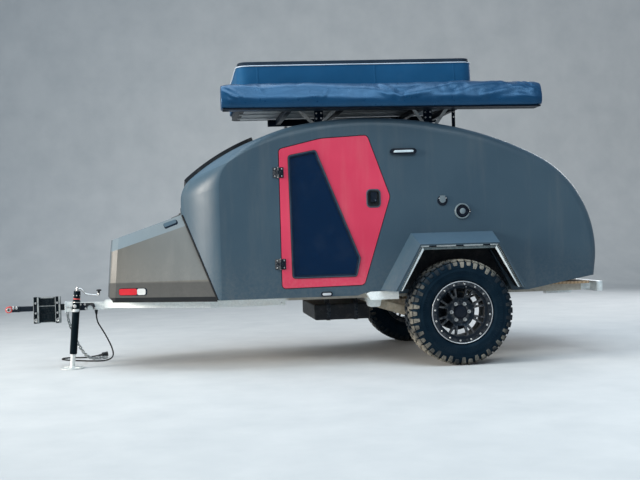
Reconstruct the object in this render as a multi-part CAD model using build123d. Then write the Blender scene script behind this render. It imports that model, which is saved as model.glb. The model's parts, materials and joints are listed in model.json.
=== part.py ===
from build123d import *
import os
from math import atan2, cos, hypot, pi, radians, sin, tan

# Teardrop camping trailer on one axle, parked on its tongue jack.
# Millimetres, +Z up, hitch towards -X, the trailer's left side towards -Y.
# Everything is drawn with X = 0 at the axle and Z = 0 at the ground, and is moved
# along X when it is written, so that the origin is the middle of the whole length.

# Overall sizes
hitch_tip_x = -3600.0
rear_end_x = 1300.0
origin_x = (hitch_tip_x + rear_end_x) / 2

# Body shell
cabin_width = 1620.0
half_width = cabin_width / 2
wall = 38.0
sill_z = 556.0
plan_corner = 300.0
plan_power = 1.35
roof_edge = 66.0
seam_foot = (-1867.0, 550.0)
seam_top = (-2130.0, 1237.0)
seam_gap = 6.0

# Doors and windows in the body sides
door_thickness = 35.0
door_gap = 6.0
frame_width = 18.0
frame_depth = 30.0
glass_thickness = 6.0
door_hinge_x = -1380.0
door_hinge_z = (822.0, 1537.0)
hinge_radius = 7.0
hinge_length = 80.0
running_gap = 0.5

# Nose lid
nose_wall = 8.0
nose_floor_gap = 7.0
nose_hinge = (-2150.0, 1243.0)
nose_hinge_y = half_width - 460.0
heel_front = (-2735.0, 597.0)
heel_foot = (-2681.0, 542.0)

# Rear hatch
hatch_top_x = 500.0
hatch_half_width = half_width - 130.0
hatch_foot_z = 700.0
hatch_gap = 6.0
hatch_hinge = (498.0, 1766.0)
hatch_hinge_y = half_width - 390.0

# Rear bumper
bumper_x = (rear_end_x - 72.0, rear_end_x - 18.0)
bumper_half = half_width - 50.0

# Wheels, 17 inch rims with wide all-terrain tyres
tyre_radius = 412.0
tyre_width = 285.0
wheel_y = half_width + 122.5
bead_radius = 217.0
rim_half_width = 113.0
stud_circle = 139.7
spindle_radius = 20.0
drum_radius = 152.0

# Wheel housings
well_depth = 65.0
well_foot_half = 490.0
well_top_half = 300.0
well_top_z = 915.0
flare_lip_y = half_width + 240.0
flare_thickness = 12.0

# Chassis
tongue_size = 63.5
tongue_wall = 6.0
tongue_foot_z = 470.0
drawbar_size = tongue_size - 2 * tongue_wall - 1.5
leg_foot_z = 484.0
leg_size = 63.5
leg_top_z = leg_foot_z + leg_size
leg_spread_y = 480.0
rail_foot_z = 533.0
rail_height = 55.0
rail_y = half_width - well_depth - 40.0
rail_width = 50.0
floor_thickness = 20.0
arm_y = rail_y - 75.0
arm_width = 60.0
pivot_x = -616.0
pivot_z = 495.0

# Jack on the left of the tongue
jack_y = -140.0
jack_lean = 5.1
jack_pivot = (-3021.0, 490.0)
jack_tube_radius = 30.0
jack_leg_radius = 20.0
jack_foot_radius = 95.0

# Roof load
roof_rail_y = 550.0
rack_top_z = 2102.0
rack_x = (-1330.0, 250.0)
rack_tilt = 0.8
tent_half_width = 670.0
tent_x = (-1670.0, 255.0)
tent_top_z = 2430.0
tent_lid_height = 35.0
tent_track_height = 10.0
tent_base_height = 40.0
awning_y = (-950.0, -745.0)
awning_x = (-1812.0, 740.0)
awning_z = (2020.0, 2238.0)

# Brake and light cable, and the safety chain
cable_diameter = 12.0
chain_width = 24.0


def block(x0, x1, y0, y1, z0, z1):
    """Box between two corners."""
    centre = Pos((x0 + x1) / 2, (y0 + y1) / 2, (z0 + z1) / 2)
    return centre * Box(x1 - x0, y1 - y0, z1 - z0)


def rod(start, end, radius):
    """Round bar from one point to another."""
    axis = Vector(*end) - Vector(*start)
    ends = (Align.CENTER, Align.CENTER, Align.MIN)
    return Plane(origin=start, z_dir=axis) * Cylinder(radius, axis.length, align=ends)


def plate(outline, y0, y1):
    """Side-view outline, drawn in X and Z, made solid from y0 to y1."""
    face = outline if isinstance(outline, (Face, Sketch)) else make_face(outline)
    return extrude(Plane.XZ.offset(-y1) * face, y1 - y0)


def deck(outline, z0, z1):
    """Plan outline, drawn in X and Y, made solid from z0 to z1."""
    return extrude(Pos(0, 0, z0) * make_face(outline), z1 - z0)


def rounded(points, radius):
    """Closed outline with rounded corners, one radius or one for each corner."""
    return FilletPolyline(*points, radius=radius, close=True)


def straight(points):
    """Closed outline with sharp corners."""
    return Polyline(*points, close=True)


def both_sides(shape):
    """The shape and its mirror image on the other side of the trailer."""
    return shape + mirror(shape, about=Plane.XZ)


def turned_about_y(outline, y):
    """Outline of radius and outward distance, revolved about the wheel axis."""
    side = 1 if y > 0 else -1
    face = make_face(straight([(r, abs(y) + t) for r, t in outline]))
    ring = revolve(face, axis=Axis.Y)
    ring = Pos(0, 0, tyre_radius) * ring
    return ring if side > 0 else mirror(ring, about=Plane.XZ)


def save(name, shape):
    """Write one piece, moved so that the origin is in the middle of the length."""
    export_step(Pos(-origin_x, 0, 0) * shape, f"parts/{name}.step")


# The cabin's side view on its centre line and on its flat side.
# Columns: centre x, centre z, side x, side z, share of the plan corner, share of the roof edge.
cabin_rows = [
    (-2138, sill_z, -1841, sill_z, 1, 0),
    (-2138, 1340, -1841, 1440, 1, 0),
    (-2118, 1435, -1821, 1540, 1, 0),
    (-2060, 1514, -1764, 1625, 1, 0),
    (-1676, 1764, -1494, 1760, 0.5, 0.5),
    (-1240, 1907, -1199, 1828, 0, 1),
    (-640, 1963, -640, 1895, 0, 1),
    (-43, 1904, -75, 1824, 0, 1),
    (363, 1802, 319, 1734, 0, 1),
    (750, 1640, 690, 1575, 0, 1),
    (972, 1476, 917, 1427, 0, 1),
    (1130, 1250, 1068, 1215, 0, 1),
    (1203, 1031, 1141, 1010, 0, 1),
    (1218, 800, 1156, 800, 0, 1),
    (1200, 655, 1140, 655, 0, 1),
    (620, sill_z, 620, sill_z, 0, 1),
]
arc_ends = (1, 3, 5, 7, 9, 11)


def corner_share(y, start, radius, power=2.0):
    """How far a rounded corner has moved in at y, from 0 where it starts to 1.

    A power of 2 is a circle, and nearer 1 it is a chamfer with softer edges.
    """
    reach = min(max((y - start) / radius, 0.0), 1.0)
    return 1.0 - (1.0 - reach**power) ** (1.0 / power)


def corner_y(x):
    """Half width of the body's front corner at x, on its upright part."""
    share = (x - cabin_rows[0][0]) / (cabin_rows[0][2] - cabin_rows[0][0])
    reach = (1.0 - (1.0 - share) ** plan_power) ** (1.0 / plan_power)
    return half_width - plan_corner + plan_corner * reach


def cabin_section(y, inset, foot_z):
    """Closed side-view wire of the cabin at y, moved in from the outside by inset."""
    plan = corner_share(abs(y), half_width - plan_corner, plan_corner - inset, plan_power)
    roof = corner_share(abs(y), half_width - roof_edge, roof_edge - inset)
    points = []
    for cx, cz, sx, sz, plan_part, roof_part in cabin_rows:
        share = plan * plan_part + roof * roof_part
        points.append((cx + (sx - cx) * share, cz + (sz - cz) * share))
    moved = []
    last = len(points) - 1
    for i, (x, z) in enumerate(points):
        if i in (0, 1):
            moved.append((x + inset, z))
            continue
        if i >= last - 1:
            moved.append((x - inset, z))
            continue
        (ax, az), (bx, bz) = points[i - 1], points[i + 1]
        length = hypot(bx - ax, bz - az)
        moved.append((x + inset * (bz - az) / length, z - inset * (bx - ax) / length))
    corners = [Vector(x, y, z) for x, z in moved]
    if inset > 0:
        corners[0].Z = foot_z
        corners[-2].Z = foot_z
        corners[-1].Z = foot_z
    edges = [Edge.make_line(corners[0], corners[1])]
    for i in arc_ends:
        edges.append(Edge.make_three_point_arc(corners[i], corners[i + 1], corners[i + 2]))
    edges.append(Edge.make_line(corners[13], corners[14]))
    edges.append(Edge.make_line(corners[14], corners[15]))
    edges.append(Edge.make_line(corners[15], corners[0]))
    return Wire(edges)


def cabin_slab(inset, foot_z=sill_z):
    """The cabin's form between its rounded flanks."""
    start = half_width - plan_corner
    return extrude(Face(cabin_section(-start, inset, foot_z)), 2 * start, dir=(0, 1, 0))


def cabin_form(inset, foot_z=sill_z):
    """Whole outer form of the cabin, or the form that lies inset below its skin."""
    start = half_width - plan_corner
    edge_start = half_width - roof_edge
    broad = [start + (edge_start - start) * i / 4 for i in range(5)]
    edge = [edge_start + (roof_edge - inset) * sin(radians(18 * i)) for i in range(6)]
    form = cabin_slab(inset, foot_z)
    for stations in (broad, edge):
        flank = Solid.make_loft([cabin_section(y, inset, foot_z) for y in stations])
        form = form + flank + mirror(flank, about=Plane.XZ)
    return form


def seam_x(z):
    """Where the slanted joint between nose and cabin is at a height."""
    slope = (seam_top[0] - seam_foot[0]) / (seam_top[1] - seam_foot[1])
    return seam_foot[0] + (z - seam_foot[1]) * slope


def ahead_of_seam(shift):
    """Everything ahead of the slanted joint between nose and cabin."""
    low, high = 300.0, 1500.0
    low_x, high_x = seam_x(low) + shift, seam_x(high) + shift
    return plate(straight([(low_x, low), (high_x, high), (-3300, high), (-3300, low)]), -1000, 1000)


# Door outline, seen from the side, and its corner radii
door_points = [(-1370, 1719), (-1040, 1797), (-668, 1818), (-496, 1332), (-720, 640), (-1370, 632)]
door_radii = [30, 400, 34, 60, 36, 28]
window_points = [(-1302, 1670), (-1080, 1712), (-743, 850), (-776, 706), (-1290, 706)]
window_radii = [26, 26, 22, 26, 26]
door_face = make_face(rounded(door_points, door_radii))
window_face = make_face(rounded(window_points, window_radii))

well_points = [
    (-well_foot_half - 20, sill_z - 40),
    (-well_top_half, well_top_z),
    (well_top_half, well_top_z),
    (well_foot_half + 20, sill_z - 40),
]
well_radii = [1, 45, 45, 1]
window_band = (-2085, -1560)


def skylight_zone(grow, half):
    """Space across the front slope that the skylight takes, between two slanted planes."""
    low_x, high_x = window_band
    points = [
        (low_x - grow - 60, 1600 - 0.6 * grow),
        (low_x - grow + 40, 1380 - 0.6 * grow),
        (high_x + grow + 60, 1700 + 0.4 * grow),
        (high_x + grow - 40, 1960 + 0.4 * grow),
    ]
    return plate(straight(points), -half, half)


def build_cabin():
    """Moulded shell, open below, with its openings, and the space inside it."""
    outer = cabin_form(0) - ahead_of_seam(0)
    inner = cabin_form(wall, foot_z=sill_z - 60)
    wall_along_x = wall / cos(atan2(seam_foot[0] - seam_top[0], seam_top[1] - seam_foot[1]))
    room = inner - ahead_of_seam(wall_along_x)
    shell = outer - room
    liner_y = half_width - well_depth
    grown = offset(make_face(rounded(well_points, well_radii)), 10)
    liner = plate(grown, liner_y - 10, half_width - wall + 2)
    liner = liner & block(-700, 700, 0, half_width, sill_z, 1100)
    shell = shell + both_sides(liner)
    well = plate(make_face(rounded(well_points, well_radii)), liner_y, half_width + 40)
    shell = shell - both_sides(well)
    opening = plate(offset(door_face, door_gap), half_width - wall - 5, half_width + 30)
    shell = shell - both_sides(opening)
    notch = plate(straight([(-775, 540), (-775, 556), (-686, 585), (-440, 585), (-440, 540)]),
                  half_width - wall - 2, half_width + 5)
    shell = shell - both_sides(notch)
    shell = shell - hatch_zone(0)
    band = cabin_slab(-30) - cabin_slab(0)
    return shell, outer, room, band


def hatch_zone(inset):
    """Space of the rear opening, or of the hatch when moved in by the gap."""
    half = hatch_half_width - inset
    return block(hatch_top_x + inset, 1500, -half, half, hatch_foot_z + inset, 2200)


cabin_shell, cabin_outer, cabin_room, skylight_band = build_cabin()


def write_cabin():
    """Shell, floor, inside walls, bed and the front skylight."""
    glass_half = half_width - plan_corner - 40
    trim = skylight_band & skylight_zone(0, glass_half + 30)
    trim = trim - skylight_zone(-45, glass_half - 15)
    opening = skylight_zone(-55, glass_half - 25)
    shell = cabin_shell - opening
    skin = cabin_slab(-9) - cabin_slab(0)
    glass = skin & skylight_zone(-46, glass_half - 16)
    save("cabin_shell", shell)
    save("skylight_frame", trim)
    save("skylight_glass", glass)
    clear = cabin_form(wall + 1.0, foot_z=sill_z - 60)
    slope = ahead_of_seam(60)
    floor_top = rail_foot_z + rail_height + floor_thickness
    floor = (clear - slope) & block(-2200, 1180, -900, 900, floor_top - floor_thickness, floor_top)
    inner_well = half_width - well_depth - 12
    for side in (-1, 1):
        y0, y1 = sorted((side * inner_well, side * 900))
        floor = floor - block(-560, 560, y0, y1, 500, 1000)
    save("cabin_floor", floor)
    bulkhead = clear & block(430, 442, -900, 900, floor_top, 2100)
    for side in (-1, 1):
        y0, y1 = sorted((side * inner_well, side * 900))
        bulkhead = bulkhead - block(-560, 560, y0, y1, 500, 960)
    save("galley_bulkhead", bulkhead)
    cabinet_half = inner_well - 30
    cabinet = block(442, 1020, -cabinet_half, cabinet_half, floor_top, 930)
    bay_width = (2 * cabinet_half - 4 * 18) / 3
    for bay in range(3):
        y0 = -cabinet_half + 18 + bay * (bay_width + 18)
        for z0, z1 in ((floor_top + 18, 760), (778, 905)):
            cabinet = cabinet - block(470, 1050, y0, y0 + bay_width, z0, z1)
    save("galley_cabinet", cabinet)
    mattress = block(-1480, 400, -inner_well + 10, inner_well - 10, floor_top + 0.3, floor_top + 130)
    mattress = fillet(mattress.edges().filter_by(Axis.Z), 60)
    save("mattress", mattress)


def write_door(side, name):
    """One door with its window, frame and handle."""
    outer_y = half_width
    inner_y = half_width - door_thickness
    panel = plate(door_face, inner_y, outer_y)
    panel = panel - plate(offset(window_face, 0.5), inner_y - 5, outer_y + 5)
    handle_face = make_face(rounded([(-682, 1250), (-682, 1389), (-574, 1389), (-574, 1250)], 30))
    panel = panel - plate(handle_face, outer_y - 26, outer_y + 5)
    leaf_x = door_hinge_x + hinge_radius + 1
    for z in door_hinge_z:
        half = hinge_length / 2
        leaf = block(leaf_x, leaf_x + 34, outer_y, outer_y + 5, z - half, z + half)
        pin_y = outer_y + 12
        knuckle = rod((door_hinge_x, pin_y, z - 13), (door_hinge_x, pin_y, z + 13), hinge_radius)
        arm = block(door_hinge_x, leaf_x + 10, outer_y + 5, outer_y + 10, z - 13, z + 13)
        panel = panel + leaf + knuckle + arm
    frame = plate(window_face, outer_y - frame_depth, outer_y + 4)
    frame = frame - plate(offset(window_face, -frame_width), outer_y - frame_depth - 5, outer_y + 9)
    pane = plate(offset(window_face, -frame_width - 0.3), outer_y - 14, outer_y - 14 + glass_thickness)
    bezel = plate(offset(handle_face, -0.3), outer_y - 25.7, outer_y + 3)
    cup = make_face(rounded([(-670, 1264), (-670, 1376), (-586, 1376), (-586, 1264)], 22))
    bezel = bezel - plate(cup, outer_y - 20, outer_y + 10)
    paddle = block(-652, -600, outer_y - 20, outer_y - 4, 1290, 1376)
    handle = bezel + paddle
    pieces = {"": panel, "_frame": frame, "_glass": pane, "_handle": handle}
    for suffix, piece in pieces.items():
        placed = piece if side > 0 else mirror(piece, about=Plane.XZ)
        save(name + suffix, placed)


def write_hinge_leaves():
    """Fixed hinge leaves of the doors, nose lid and hatch."""
    leaves = Part()
    half = hinge_length / 2
    for z in door_hinge_z:
        leaf = block(door_hinge_x - 42, door_hinge_x - 8, half_width, half_width + 5, z - half, z + half)
        for z0, z1 in ((z - half, z - 13 - running_gap), (z + 13 + running_gap, z + half)):
            y = half_width + 12
            leaf = leaf + rod((door_hinge_x, y, z0), (door_hinge_x, y, z1), hinge_radius)
            leaf = leaf + block(door_hinge_x - 18, door_hinge_x, half_width + 5, half_width + 10, z0, z1)
        leaves = leaves + both_sides(leaf)
    x, z = nose_hinge
    for y in (-nose_hinge_y, nose_hinge_y):
        knuckle = rod((x, y - 30, z), (x, y + 30, z), hinge_radius)
        leaf = knuckle + block(x, -2138, y - 30, y + 30, z + 2, z + 6)
        leaf = leaf + block(-2142, -2138, y - 30, y + 30, z + 2, z + 50)
        leaves = leaves + leaf
    leaf_skin = cabin_slab(-4) - cabin_slab(0)
    x, z = hatch_hinge
    for y in (-hatch_hinge_y, hatch_hinge_y):
        leaf = leaf_skin & block(x - 58, x - 10, y - 40, y + 40, 1600, 1900)
        neck = plate(straight([(x, z - 6), (x, z + 3), (x - 24, z + 6), (x - 24, z - 2)]), y - 14, y + 14)
        leaf = leaf + rod((x, y - 14, z), (x, y + 14, z), hinge_radius) + (neck - cabin_outer)
        leaves = leaves + leaf
    save("hinge_leaves", leaves)


def nose_section(points, plane_foot, plane_top, grow):
    """Symmetric closed wire through half-outline points laid in a slanted plane."""
    slope = (plane_top[0] - plane_foot[0]) / (plane_top[1] - plane_foot[1])
    half = [(plane_foot[0] + (z - plane_foot[1]) * slope + grow, y, z) for y, z in points]
    other = [(x, -y, z) for x, y, z in reversed(half)]
    return Wire(Polyline(*(half + other), close=True).edges())


def nose_form(inset, foot_z):
    """Outer form of the nose, or the hollow inside it."""
    front = [(-385, foot_z), (-352, 705), (-364, 950), (-425, 1046)]
    front = [(half_width + y, z) for y, z in front]
    rear = [(corner_y(seam_x(z)), z) for z in (seam_foot[1], 720, 1148, seam_top[1])]
    rear[0] = (rear[0][0], foot_z)
    front = [(y - inset, z - (inset if z > 900 else 0)) for y, z in front]
    rear = [(y - inset, z - (inset if z > 900 else 0)) for y, z in rear]
    front_wire = nose_section(front, (-2735, 600), (-2700, 1046), inset)
    rear_wire = nose_section(rear, seam_foot, seam_top, 8 if inset else 0)
    return Solid.make_loft([front_wire, rear_wire], ruled=True)


def nose_heel(inset):
    """What the slanted corner at the nose's lower front edge takes away."""
    (x0, z0), (x1, z1) = heel_front, heel_foot
    slope = (x1 - x0) / (z0 - z1)
    shift = inset * hypot(1, slope)
    low, high = 300.0, z0 + 20
    low_x, high_x = x0 + (z0 - low) * slope + shift, x0 + (z0 - high) * slope + shift
    return plate(straight([(low_x, low), (high_x, high), (-3300, high), (-3300, low)]), -900, 900)


def write_nose():
    """Lifting nose lid, its seal, the fixed tray below and the hinge knuckles."""
    outer = Part() + nose_form(0, sill_z)
    tall = outer.edges().filter_by(lambda e: abs((e @ 0).X - (e @ 1).X) < 60)
    tall = tall.filter_by(lambda e: (e @ 0).X < -2600 and abs((e @ 0).Z - (e @ 1).Z) > 20)
    outer = fillet(tall, 30)
    lid = outer & ahead_of_seam(-seam_gap)
    lid = lid - nose_heel(0) - (nose_form(nose_wall, sill_z - 60) - nose_heel(nose_wall))
    x, z = nose_hinge
    for y in (-nose_hinge_y, nose_hinge_y):
        for y0, y1 in ((y - 50, y - 30 - running_gap), (y + 30 + running_gap, y + 50)):
            knuckle = rod((x, y0, z), (x, y1, z), hinge_radius)
            strap = plate(straight([(x, z - 6), (x, z - 2), (x - 70, z - 30), (x - 70, z - 38)]), y0, y1)
            lid = lid + knuckle + (strap - outer)
    save("nose_lid", lid)
    rim = nose_form(0, sill_z) - nose_heel(0)
    rim = rim - (nose_form(nose_wall + 4, sill_z - 60) - nose_heel(nose_wall + 4))
    seal = Pos(0, 0, -8) * (rim & block(-3000, -1700, -900, 900, sill_z, sill_z + 7.7))
    seal = seal & ahead_of_seam(-seam_gap - 4)
    save("nose_seal", seal)
    tray = nose_form(nose_wall + nose_floor_gap, sill_z - 60) - nose_heel(nose_wall + nose_floor_gap)
    tray = tray & block(-2680, -1700, -900, 900, leg_top_z, leg_top_z + 60)
    tray = tray & ahead_of_seam(-12)
    hollow = nose_form(nose_wall + nose_floor_gap + 4, sill_z - 60) & ahead_of_seam(-16)
    hollow = hollow - nose_heel(nose_wall + nose_floor_gap + 4)
    tray = tray - (hollow & block(-2672, -1700, -900, 900, leg_top_z + 4, 900))
    save("nose_tray", tray)


def write_hatch():
    """Rear hatch, cut from the same skin as the shell, and its handle."""
    skin = cabin_outer - cabin_room
    hatch = skin & hatch_zone(hatch_gap)
    leaf_skin = cabin_slab(-4) - cabin_slab(0)
    x, z = hatch_hinge
    for y in (-hatch_hinge_y, hatch_hinge_y):
        leaf = leaf_skin & block(x + 14, x + 62, y - 40, y + 40, 1600, 1900)
        for y0, y1 in ((y - 40, y - 14 - running_gap), (y + 14 + running_gap, y + 40)):
            neck = plate(straight([(x, z - 6), (x, z + 3), (x + 24, z - 20), (x + 24, z - 26)]), y0, y1)
            leaf = leaf + rod((x, y0, z), (x, y1, z), hinge_radius) + (neck - cabin_outer)
        hatch = hatch + leaf
    save("rear_hatch", hatch)
    grip = rod((1222, -80, 830), (1222, 80, 830), 9)
    for y in (-70, 70):
        grip = grip + rod((1222, y, 830), (1190, y, 830), 7)
    save("hatch_handle", grip - cabin_outer)


def write_flares():
    """Wheel-arch flares and the slotted guards under their lips."""
    def arch(y, foot, top, top_z, foot_z=590.0):
        points = [(-foot, y, foot_z), (-top, y, top_z), (top, y, top_z), (foot, y, foot_z)]
        return Wire(Polyline(*points, close=True).edges())
    t = flare_thickness
    outer_rows = [arch(half_width, 594, 335, 1036), arch(flare_lip_y, 521, 317, 948)]
    outer = Solid.make_loft(outer_rows, ruled=True)
    inner_rows = [arch(half_width - 1, 594 - 2.2 * t, 335 - t, 1036 - 1.5 * t, 560),
                  arch(flare_lip_y + 1, 521 - 1.2 * t, 317 - 0.6 * t, 948 - t, 560)]
    inner = Solid.make_loft(inner_rows, ruled=True)
    flare = Part() + outer - inner
    save("wheel_flares", both_sides(flare))
    y0, y1 = flare_lip_y - 24, flare_lip_y - 20
    guard = plate(straight([(-494.8, 592), (-310.4, 942.8), (310.4, 942.8), (494.8, 592)]), y0, y1)
    guard = guard - plate(straight([(-462, 580), (-286, 903), (286, 903), (462, 580)]), y0 - 5, y1 + 5)
    for x in (-215, 0, 215):
        guard = guard - plate(SlotOverall(60, 11).moved(Location((x, 916, 0))), y0 - 5, y1 + 5)
    save("arch_guards", both_sides(guard))


def write_chassis():
    """Tongue, drawbar legs, frame rails, cross members, suspension and tank."""
    half = tongue_size / 2
    tongue_z = tongue_foot_z + half
    tube = block(-3112, -2200, -half, half, tongue_foot_z, tongue_foot_z + tongue_size)
    bore = half - tongue_wall
    tube = tube - block(-3130, -2190, -bore, bore, tongue_z - bore, tongue_z + bore)
    sleeve = half + 9.25
    flange = sleeve + 4
    collar = block(-3112, -3030, -sleeve, sleeve, tongue_z - sleeve, tongue_z + sleeve)
    collar = collar + block(-3119, -3112, -flange, flange, tongue_z - flange, tongue_z + flange)
    collar = collar - block(-3130, -3000, -half, half, tongue_foot_z, tongue_foot_z + tongue_size)
    tube = tube + collar
    tube = tube - block(-3130, -3110, -bore, bore, tongue_z - bore, tongue_z + bore)
    save("tongue_tube", tube)
    spread = leg_spread_y
    w = leg_size / 2
    y_near = half + w * 1.1
    leg = straight([
        (-2790, half), (-2700, half), (-1905, spread - w), (-1320, spread - w),
        (-1320, spread + w), (-1925, spread + w), (-2790, y_near),
    ])
    legs = deck(leg, leg_foot_z, leg_top_z)
    bolt = rod((-1350, spread - 60, 505), (-1350, spread + 60, 505), 6)
    save("drawbar_legs", both_sides(legs - bolt))
    rail = block(-1790, 1100, rail_y - rail_width / 2, rail_y + rail_width / 2,
                 rail_foot_z, rail_foot_z + rail_height)
    save("frame_rails", both_sides(rail))
    beams = Part()
    inner = rail_y - rail_width / 2
    for x in (-1770, -1340, -960, -720, pivot_x, -60, 300, 700, 1080):
        beams = beams + block(x - 20, x + 20, -inner, inner, leg_top_z, rail_foot_z + rail_height)
    save("cross_members", beams)
    write_suspension(inner)
    tank = block(-1072, -607, -420, 420, 340, 472)
    tank = fillet(tank.edges(), 18)
    for x in (-960, -720):
        for y in (-360, 360):
            tank = tank + block(x - 18, x + 18, y - 18, y + 18, 470, leg_top_z)
    save("water_tank", tank)


def write_suspension(inner):
    """Trailing arms with their pivots, coil springs and shock absorbers."""
    y0, y1 = arm_y - arm_width / 2, arm_y + arm_width / 2
    beam = block(pivot_x - 30, pivot_x + 30, -y0 + 12, y0 - 12, leg_foot_z, leg_top_z)
    side = make_face(rounded([(pivot_x - 45, 452), (pivot_x - 62, rail_foot_z),
                              (pivot_x + 62, rail_foot_z), (pivot_x + 45, 452)], [20, 2, 2, 20]))
    cheeks = plate(side, y0 - 12, y0 - 1) + plate(side, y1 + 1, y1 + 12)
    cheeks = cheeks + rod((pivot_x, y0 - 12, pivot_z), (pivot_x, y1 + 12, pivot_z), 12)
    cheeks = cheeks + block(pivot_x - 62, pivot_x + 62, y0 - 12, rail_y + 25, rail_foot_z - 6, rail_foot_z)
    step_side = [(-700, 566), (-672, 518), (-446, 518), (-446, 583), (-672, 583), (-700, 574)]
    step_root = half_width - wall + 4
    step = plate(straight(step_side), rail_y + rail_width / 2, step_root)
    step = step & block(-800, -530, 0, half_width + 90, 500, 600)
    nose = plate(straight(step_side), step_root, half_width + 2)
    seat = block(-210, -90, y0, rail_y + 25, rail_foot_z - 8, rail_foot_z)
    side_mounts = cheeks + seat
    save("suspension_mounts", both_sides(side_mounts + step + nose) + beam)
    arm_points = [(-656, 472), (-646, 521), (-590, 521), (-340, 438), (-60, 425), (20, 462),
                  (58, 425), (50, 362), (-60, 350), (-340, 365), (-600, 450)]
    arm = plate(rounded(arm_points, [22, 20, 22, 60, 40, 28, 28, 28, 60, 60, 30]), y0, y1)
    arm = arm - rod((pivot_x, y0 - 5, pivot_z), (pivot_x, y1 + 5, pivot_z), 12.1)
    spindle = rod((0, y1, tyre_radius), (0, wheel_y - 20, tyre_radius), spindle_radius)
    plate_y = wheel_y - 187.5
    backing = rod((0, plate_y, tyre_radius), (0, plate_y + 6, tyre_radius), drum_radius)
    arm = arm + spindle + backing
    save("trailing_arms", both_sides(arm))
    coil_foot = 430.0
    coil_height = rail_foot_z - 8 - coil_foot
    wire = 7.0
    path = Helix(pitch=(coil_height - 2 * wire) / 3, height=coil_height - 2 * wire - 1, radius=45)
    start = path @ 0
    section = Plane(origin=start, z_dir=path % 0) * Circle(wire)
    coil = sweep(section, path=path)
    coil = Pos(-150, arm_y + 15, coil_foot + wire + 0.5) * coil
    save("coil_springs", both_sides(coil))
    shock_y = arm_y - 58
    foot, middle, head = (-40, shock_y, 398), (110, shock_y, 460), (300, shock_y, 536)
    shock = rod(foot, middle, 24) + rod(middle, head, 9)
    shock = shock + rod((foot[0], shock_y - 20, foot[2]), (foot[0], y0, foot[2]), 12)
    shock = shock + rod((head[0], shock_y - 20, head[2]), (head[0], shock_y + 20, head[2]), 11)
    save("shock_absorbers", both_sides(shock))


def write_hitch():
    """Pin coupling, height-adjusting channels and the drawbar in the receiver."""
    centre_z = tongue_foot_z + tongue_size / 2
    h = drawbar_size / 2
    eye_x = hitch_tip_x + 28
    bar_z, bar_h = 496.0, 21.0
    cheeks = ((-3376, -3330), (-3198, -3156))
    bar_end = cheeks[0][1]
    eye = rod((eye_x, -32, 494), (eye_x, 32, 494), 28)
    neck = block(eye_x + 12, eye_x + 86, -28, 28, bar_z - 23, bar_z + 21)
    for x in (eye_x + 40, eye_x + 70):
        neck = neck + rod((x, -34, 506), (x, 34, 506), 9)
    bar = block(eye_x + 86, bar_end, -h, h, bar_z - bar_h, bar_z + bar_h)
    coupler = (neck + eye + bar) - rod((eye_x, -40, 494), (eye_x, 40, 494), 10)
    save("hitch_coupler", coupler)
    drawbar = block(-3170, -2960, -h, h, centre_z - h, centre_z + h)
    web = block(cheeks[0][1], cheeks[1][0], -h + 7, h - 7, 376, 588)
    web = web + block(cheeks[0][1], cheeks[1][0], -h, h, bar_z - bar_h, bar_z + bar_h)
    parts = drawbar + web
    cheek = h + 7
    for x0, x1 in cheeks:
        parts = parts + block(x0, x1, -cheek, cheek, 370, 592)
        for z in (540, 458, 398):
            middle = (x0 + x1) / 2
            parts = parts + rod((middle, -cheek - 12, z), (middle, cheek + 12, z), 9)
    fit_y, fit_z = h + 0.3, bar_h + 0.3
    parts = parts - block(cheeks[0][0] - 10, bar_end, -fit_y, fit_y, bar_z - fit_z, bar_z + fit_z)
    save("hitch_drawbar", parts)


def jack_point(height):
    """Point on the leaning jack's axis at a height."""
    rise = height - jack_pivot[1]
    return (jack_pivot[0] + 4.7 + rise * tan(radians(jack_lean)), jack_y, height)


def write_jack():
    """Swivel jack with crank, its bracket and its sliding leg."""
    px, pz = jack_pivot
    half = tongue_size / 2
    base = block(-3029.5, px + 76, -60, -half, 472, 532)
    cheek = rounded([(px + 70, 476), (px + 70, 530), (px + 140, 530), (px + 158, 476)], [1, 1, 22, 4])
    window = rounded([(px + 86, 466), (px + 86, 508), (px + 124, 508), (px + 138, 466)], [1, 18, 18, 1])
    base = base + plate(cheek, -half - 6, -half) - plate(window, -half - 10, -half + 5)
    collar_y = jack_y + jack_tube_radius + 3.7
    boss = rod((px, -59, pz), (px, collar_y + 0.3, pz), 26)
    pin = rod((px, collar_y + 0.3, pz), (px, collar_y - 7.7, pz), 12)
    save("jack_bracket", base + boss + pin)
    tube = rod(jack_point(121), jack_point(560), jack_tube_radius)
    collar = rod((px, collar_y - 8.7, pz), (px, collar_y, pz), 36)
    tube = tube + collar
    tube = tube - rod((px, collar_y - 8.7, pz), (px, collar_y + 6, pz), 12.1)
    tube = tube - rod(jack_point(110), jack_point(545), jack_leg_radius + 0.3)
    head = rod(jack_point(560), jack_point(640), 27)
    tube = tube + head
    cx, cy, cz = jack_point(658)
    crank = rod(jack_point(640), jack_point(666), 12)
    joints = [(cx, cy, cz), (cx + 34, cy - 4, 652), (cx + 70, cy - 8, 614), (cx + 130, cy - 14, 599),
              (-2828, cy - 14, 597), (-2828, cy - 14, 622)]
    for start, end in zip(joints, joints[1:]):
        crank = crank + rod(start, end, 6) + Pos(*end) * Sphere(6)
    knob = rod((-2828, cy - 14, 618), (-2828, cy - 14, 632), 9)
    knob = knob + rod((-2828, cy - 14, 632), (-2828, cy - 14, 645), 21)
    save("jack_tube", tube)
    save("jack_crank", crank + knob)
    leg = rod(jack_point(8), jack_point(430), jack_leg_radius)
    foot_x, foot_y, _ = jack_point(0)
    foot = rod((foot_x, foot_y, 0), (foot_x, foot_y, 9), jack_foot_radius)
    leg = leg & block(-3200, -2900, -300, 0, 0, 600)
    save("jack_leg", leg + foot)


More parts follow.
